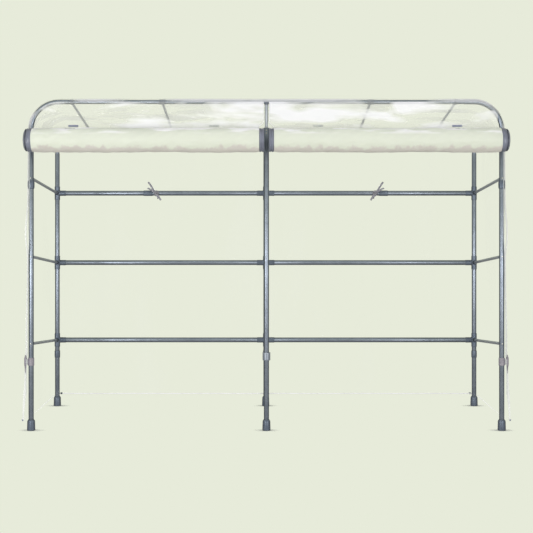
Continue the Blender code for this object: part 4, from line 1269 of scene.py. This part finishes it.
for side, hand in SIDES:
    rows = []
    for i in range(ROLL_STEPS + 1):
        x = side * (CURTAIN_IN + (CURTAIN_OUT - CURTAIN_IN) * i / ROLL_STEPS)
        near_end = min(i, ROLL_STEPS - i) / 6
        tuck = 0.0025 * max(1 - near_end, 0.0) ** 2
        row = []
        for k in range(ROLL_SIDES + 1):
            a = 2 * math.pi * k / ROLL_SIDES
            r = roll_radius(a, x) - tuck
            row.append(Vector((x, roll_y + r * math.cos(a), roll_z + r * math.sin(a))))
        rows.append(row)
    for bore, i in ((0.040, ROLL_STEPS), (ROLL_BORE, ROLL_STEPS), (ROLL_BORE, 0), (0.040, 0)):
        rows.append([Vector((rows[i][0].x, roll_y + bore * math.cos(a),
                             roll_z + bore * math.sin(a)))
                     for a in [2 * math.pi * k / ROLL_SIDES for k in range(ROLL_SIDES + 1)]])
    rows.append(rows[0])
    roll = grid_piece(hand + "_rolled_curtain", rows, flip=side > 0)
    bpy.ops.object.mode_set(mode="EDIT")
    bpy.ops.mesh.select_all(action="SELECT")
    bpy.ops.mesh.remove_doubles(threshold=1e-6)
    bpy.ops.mesh.normals_make_consistent(inside=False)
    bpy.ops.object.mode_set(mode="OBJECT")
    settle(roll, 50)
    dress(roll, hand + "_roll", roll_surface, "clear_film", hand + "_film_roll")
    print(roll.name, len(roll.data.polygons), "faces")

# %% [markdown]
# ## Hems
# The film's edges are welded into beads, which show as thin white lines, and the free
# front edges of the side walls curl over into a narrow ribbon. A bead could be a thick
# edge on the sheet itself, but then it would be as clear as the film. So each is a thin
# tube or ribbon of its own along the sheet's edge.

# %% Hem beads and curled edges
def hem(name, points, radius, surface=hem_surface, taper=1.0):
    bead = round_line(name, points, radius, 8, taper=taper)
    print(name, round(line_length(points), 2), "m")
    return dress(bead, "frame", surface, "clear_film")

hem("back_hem", [row + Y_AXIS * 0.0026 for row in back_rows[0][::2]], 0.0030)
for side, hand in SIDES:
    foot = [side_point(side, SIDE_EDGE + WALL_DEPTH * j / WALL_COLUMNS, 0.0, 0.0026)
            for j in range(WALL_COLUMNS + 1)]
    hem(hand + "_foot_hem", foot, 0.0018, foot_surface, 0.2)
    rows = []
    for k in range(WALL_ROWS + 1):
        point = side_point(side, SIDE_EDGE, k / WALL_ROWS, 0.0)
        low_part = math.exp(-((point.z - 0.18) / 0.065) ** 2)
        half = X_AXIS * side * (0.0042 + 0.0030 * low_part)
        rows.append([point - half, point - Y_AXIS * 0.0005, point + half])
    curl = grid_piece(hand + "_front_hem", rows)
    apply_modifier(curl, "SOLIDIFY", thickness=0.0009, offset=0.0)
    settle(curl, 60)
    dress(curl, "frame", curl_surface, "clear_film")
    low_z, high_z = roll_z + 0.07, front_top_z - 0.002
    heights = [low_z + (high_z - low_z) * k / 24 for k in range(25)]
    inner = [Vector((side * (curtain_start(z) + 0.001), front_y - 0.0194, z)) for z in heights]
    hem(hand + "_curtain_hem", inner, 0.0016)

# %% [markdown]
# ## Webbing tabs
# Short webbing tabs sit on the curtains just above the rolls, to tie a rolled curtain up.
# The outer ones are bare, the inner ones lie behind the film and look pale. A flat strap is
# a ribbon of two edges along a line, given its thickness and its soft edges by modifiers.

# %% Webbing tabs
def strap(name, points, width, across, thick, surface, body="frame"):
    """A flat strap along points, as wide as width in the across direction."""
    half = Vector(across).normalized() * width / 2
    rows = [[p - half, p + half] for p in points]
    piece = grid_piece(name, rows)
    apply_modifier(piece, "SOLIDIFY", thickness=thick, offset=0.0)
    apply_modifier(piece, "BEVEL", width=thick * 0.35, segments=2)
    return dress(settle(piece, 40), body, surface, "pull_cord")

TAB_XS = (("left_outer", -1.017), ("left_inner", -0.276), ("right_inner", 0.273),
          ("right_outer", 1.004))
TAB_Z, TAB_LENGTH, TAB_STEPS = 1.606, 0.052, 8
for place, x in TAB_XS:
    steps = [(x + TAB_LENGTH * (k / TAB_STEPS - 0.5), math.sin(math.pi * k / TAB_STEPS))
             for k in range(TAB_STEPS + 1)]
    # The strap under each outer tab and the inner tabs take the webbing painted pale for the
    # film's haze.
    if "outer" in place:
        under = [Vector((tab_x, roll_y - 0.0305, roll_z + 0.0590)) for tab_x, _ in steps]
        strap(place + "_roll_tab", under, 0.007, (0, -0.6, 0.4), 0.0012, webbing_with_painted_haze,
              ("left" if x < 0 else "right") + "_roll")
    across = [Vector((tab_x, front_y - 0.0200 - 0.0006 * bulge, TAB_Z))
              for tab_x, bulge in steps]
    strap(place + "_tab", across, 0.010, Z_AXIS, 0.0016,
          webbing if "outer" in place else webbing_with_painted_haze)
print("tabs at x", [x for _, x in TAB_XS])

# %% [markdown]
# ## Rail sleeves and ties
# On the upper back rail a short sleeve and a knotted band hold the back film. The band is
# one loop round the rail, a small knot and four loose tails. The loop and tails are straps
# along smooth lines, and the knot is a round line bent as a trefoil, which pulls into the
# right crossing loops by a formula instead of by hand.

# %% Rail sleeves and ties
SLEEVE_X, SLEEVE_HALF, SLEEVE_END_R, SLEEVE_R = 0.701, 0.0275, 0.0156, 0.0164
LOOP_X, LOOP_R, LOOP_STEPS = 0.652, 0.0157, 24
# Each point of a tail is (outward from the middle, behind the rail's axis, above it).
TIE_TAILS = (((0.655, -0.017, 0.004), (0.670, -0.020, 0.022), (0.684, -0.019, 0.046),
              (0.699, -0.016, 0.066)),
             ((0.656, -0.019, 0.003), (0.674, -0.023, 0.014), (0.690, -0.024, 0.024),
              (0.703, -0.022, 0.030)),
             ((0.652, -0.018, -0.002), (0.646, -0.021, -0.012), (0.642, -0.021, -0.022),
              (0.640, -0.019, -0.033)),
             ((0.650, -0.018, -0.001), (0.641, -0.022, -0.014), (0.633, -0.022, -0.028),
              (0.624, -0.019, -0.042)))
KNOT_TURNS = [2 * math.pi * k / 48 for k in range(48)]

def tie_point(side, out, fore, up):
    return Vector((side * out, back_y + fore, rail_heights[-1] + up))

for side, hand in SIDES:
    bore = RAIL_R + SMALL_GAP
    profile = ((-SLEEVE_HALF, bore), (-SLEEVE_HALF, SLEEVE_END_R), (-0.022, SLEEVE_R),
               (0.022, SLEEVE_R), (SLEEVE_HALF, SLEEVE_END_R), (SLEEVE_HALF, bore))
    ring = lathe(hand + "_rail_sleeve", profile, tie_point(side, SLEEVE_X, 0.0, 0.0), X_AXIS,
                 bevel=0.0005)
    dress(ring, "frame", fitting_plastic, "moulded_plastic")
    loop = []
    for k in range(LOOP_STEPS + 1):
        a = 2 * math.pi * k / LOOP_STEPS
        loop.append(tie_point(side, LOOP_X + 0.006 * math.cos(a), LOOP_R * math.cos(a),
                              LOOP_R * math.sin(a)))
    strap(hand + "_tie_loop", loop, 0.010, X_AXIS, 0.0012, tie_webbing)
    for number, tail in enumerate(TIE_TAILS):
        line_points = smooth_line([tie_point(side, *p) for p in tail], 0.004)
        strap(f"{hand}_tie_tail_{number}", line_points, 0.011, (-side, 0, 0.7), 0.0014,
              tie_webbing)
    knot_line = [tie_point(side, 0.651 + 0.0048 * (math.sin(t) + 2 * math.sin(2 * t)),
                           -0.0212 + 0.0022 * -math.sin(3 * t),
                           -0.002 + 0.0048 * (math.cos(t) - 2 * math.cos(2 * t)))
                 for t in KNOT_TURNS]
    knot = round_line(hand + "_tie_knot", knot_line, 0.0030, 8, closed=True)
    dress(knot, "frame", tie_webbing, "pull_cord")
    print(hand, "tie at x", side * LOOP_X)

# %% [markdown]
# ## Hem knots
# At the hem's corners the film is tied with short thin line. Only a dark speck shows in the
# photo, so each is a small tight trefoil, the same form as the tie's knot.

# %% Hem knots
def hem_knot(name, centre, size, surface):
    """A trefoil knot of thin line, pulled tight round the hem."""
    line_points = [centre + Vector((math.sin(t) + 2 * math.sin(2 * t), -math.sin(3 * t) * 0.6,
                                    math.cos(t) - 2 * math.cos(2 * t))) * size
                   for t in KNOT_TURNS]
    made = round_line(name, line_points, size * 0.9, 8, closed=True)
    print(name, "at", [round(v, 3) for v in centre])
    return dress(made, "frame", surface, "pull_cord")

for side, hand in SIDES:
    hem_knot(hand + "_back_knot", Vector((side * 1.222, back_y + 0.022, 0.071)), 0.0018,
             fitting_plastic)
    corner = side_point(side, SIDE_EDGE, 0.0, 0.004)
    hem_knot(hand + "_front_knot", corner + Vector((0, 0.004, -0.002)), 0.0016, webbing)

# %% [markdown]
# ## Screws
# Pan-head screws hold the side bars' flat ends and the riser in the middle post. The head is
# turned from its outline and a cross is cut into it by two thin boxes. The slots are finer
# than a pixel here, but they catch the light when the object is seen from near.

# %% Screws
SCREW_R, SCREW_SEAT = 0.0034, front_y - TUBE_R + 0.0001
CENTRE_SCREW_ZS = (1.599, 1.584, 1.569)

def screw(name, x, z):
    """A pan head with a cross slot, pressed on the front of a post."""
    head = lathe(name, ((0, 0), (0, SCREW_R), (0.0008, SCREW_R), (0.0019, SCREW_R * 0.72),
                        (0.0022, SCREW_R * 0.3), (0.0022, 0)), (x, SCREW_SEAT, z), -Y_AXIS,
                 24, closed=False)
    centre = Vector((x, SCREW_SEAT - 0.0021, z))
    for way in (Z_AXIS, -X_AXIS):
        deselect()
        bpy.ops.mesh.primitive_cube_add(size=1.0, location=(0, 0, 0))
        slot_tool = bpy.context.object
        turn = Matrix((way, way.cross(-Y_AXIS), -Y_AXIS)).transposed().to_4x4()
        slot_tool.matrix_world = (Matrix.Translation(centre) @ turn
                                  @ Matrix.Diagonal((SCREW_R * 1.2, SCREW_R * 0.25, 0.0016, 1)))
        bpy.ops.object.transform_apply(location=True, rotation=True, scale=True)
        combine(head, slot_tool, "DIFFERENCE")
    return dress(settle(head), "frame", zinc, "moulded_plastic")

for side, hand in SIDES:
    for level, z in zip(LEVELS, rail_heights):
        screw(f"{hand}_screw_{level}", side * post_x, z + BAR_DROP)
for number, z in enumerate(CENTRE_SCREW_ZS):
    screw(f"centre_screw_{number}", 0.0, z)
print("screws:", 2 * len(LEVELS) + len(CENTRE_SCREW_ZS))

# %% [markdown]
# ## Floor
# The photo's ground is one flat pale green with short soft shadows at the feet. A plain
# floor would show a line where it meets the background. So the floor is clear to the
# camera except near the feet, where it keeps their shadows. All six feet share one mask:
# the distances are folded about the middle until one foot stands for all.

# %% Floor
deselect()
bpy.ops.mesh.primitive_grid_add(x_subdivisions=8, y_subdivisions=8, size=14.0,
                                location=(0, 0, -0.0005))
floor = bpy.context.object
floor.name = "floor"
floor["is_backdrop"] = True
# The floor is whole to the first distance from a foot and gone at the second. The mask is
# half as deep from front to back, and reaches a little further towards the middle.
FLOOR_SOLID, FLOOR_GONE, FLOOR_DEPTH, FLOOR_INWARD = 0.025, 0.080, 2.0, 0.9
# Matt painted board. To the eye: the background's own pale green, with the feet's shadows.
made, tree = new_material("pale_floor")
light_path = add(tree, "LightPath")
shade = add(tree, "Mix", {0: light_path.outputs["Is Camera Ray"], 6: linear("#E6E6DE"),
                          7: linear("#ECEFE2")}, data_type="RGBA")
paint_floor = add(tree, "BsdfDiffuse", {"Color": shade.outputs[2]})
place = add(tree, "TexCoord")
parts = add(tree, "SeparateXYZ", {"Vector": place.outputs["Object"]})

def folded(value, centre, half):
    """The distance from centre, and again from half a width, so one foot stands for all."""
    moved = add(tree, "Math", {0: value, 1: centre}, operation="SUBTRACT")
    off = add(tree, "Math", {0: moved.outputs["Value"]}, operation="ABSOLUTE")
    across = add(tree, "Math", {0: off.outputs["Value"], 1: half}, operation="SUBTRACT")
    inside = add(tree, "Math", {0: across.outputs["Value"], 1: -FLOOR_INWARD},
                 operation="MULTIPLY")
    return off.outputs["Value"], add(tree, "Math", {0: across.outputs["Value"],
                                                    1: inside.outputs["Value"]},
                                     operation="MAXIMUM").outputs["Value"]

middle_x, outer_x = folded(parts.outputs["X"], 0.0, post_x)
foot_x = add(tree, "Math", {0: middle_x, 1: outer_x}, operation="MINIMUM")
foot_y = folded(parts.outputs["Y"], (front_y + back_y) / 2, (back_y - front_y) / 2)[1]
foot_y = add(tree, "Math", {0: foot_y, 1: FLOOR_DEPTH}, operation="MULTIPLY")
flat = add(tree, "CombineXYZ", {"X": foot_x.outputs["Value"], "Y": foot_y.outputs["Value"]})
far = add(tree, "VectorMath", {0: flat.outputs["Vector"]}, operation="LENGTH")
fade = add(tree, "MapRange", {"Value": far.outputs["Value"], "From Min": FLOOR_SOLID,
                              "From Max": FLOOR_GONE, "To Min": 0.0},
           interpolation_type="SMOOTHSTEP")
seen = add(tree, "Math", {0: fade.outputs["Result"], 1: light_path.outputs["Is Camera Ray"]},
           operation="MULTIPLY")
clear = add(tree, "BsdfTransparent")
both = add(tree, "MixShader", {0: seen.outputs["Value"], 1: paint_floor.outputs["BSDF"],
                               2: clear.outputs["BSDF"]})
add(tree, "OutputMaterial", {"Surface": both.outputs["Shader"]})
floor.data.materials.append(made)
print("floor shows within", 1000 * FLOOR_GONE, "mm of each foot")

# %% [markdown]
# ## Background and light
# The world shows the photo's pale green to the camera and in reflections, and lights the
# object with a neutral white of its own, so the background's colour never tints the part.
# Large softboxes stand in for studio lamps. Tall ones to the sides draw the bright line
# down each post, a wide one above lights the film and the rolls, and two broad ones
# further off fill in the rest.

# %% World
world = bpy.data.worlds.new("studio")
bpy.context.scene.world = world
world.use_nodes = True
tree = world.node_tree
tree.nodes.clear()
rays = add(tree, "LightPath")
either = add(tree, "Math", {0: rays.outputs["Is Camera Ray"], 1: rays.outputs["Is Glossy Ray"]},
             operation="MAXIMUM")
shown = add(tree, "Math", {0: either.outputs["Value"], 1: rays.outputs["Is Transmission Ray"]},
            operation="MAXIMUM")
lighting = add(tree, "Background", {"Color": linear("#FFFFFF"), "Strength": 0.58})
backdrop = add(tree, "Background", {"Color": linear("#E7EBDA"), "Strength": 1.0})
both = add(tree, "MixShader", {0: shown.outputs["Value"], 1: lighting.outputs["Background"],
                               2: backdrop.outputs["Background"]})
add(tree, "OutputWorld", {"Surface": both.outputs["Shader"]})
print("world shown to the camera, to gloss and through film")

# %% Lamps
def lamp(name, place, target, width, height, watts):
    """A rectangular softbox that faces target."""
    made = bpy.data.lights.new(name, "AREA")
    made.shape = "RECTANGLE"
    made.size, made.size_y = width, height
    made.energy = watts
    obj = bpy.data.objects.new(name, made)
    obj.location = place
    obj.rotation_euler = (Vector(target) - Vector(place)).to_track_quat("-Z", "Y").to_euler()
    bpy.context.scene.collection.objects.link(obj)
    print(name, watts, "W")

lamp("key", (-2.5, -4.2, 0.72), (0, 0, 0.7), 0.34, 1.4, 63)
lamp("near_right", (2.6, -4.2, 0.72), (0.4, 0, 0.7), 0.6, 1.4, 30)
lamp("above", (0.0, -1.6, 4.8), (0, -0.2, 1.6), 4.0, 1.4, 28)
lamp("front_left", (-2.9, -7.2, 0.9), (-0.4, 0, 0.9), 2.8, 1.5, 62)
lamp("front_right", (2.9, -7.2, 0.9), (0.4, 0, 0.9), 2.8, 1.5, 92)
bpy.context.scene.view_settings.view_transform = "Standard"

# %% [markdown]
# ## Sizes and finish
# The box round the visual model, without the floor, is printed. The visual model has to
# stay inside the CAD model's box, apart from what film may stand proud.

# %% Sizes and finish
low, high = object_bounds()
print("visual box", [round(v, 4) for v in (*low, *high)])
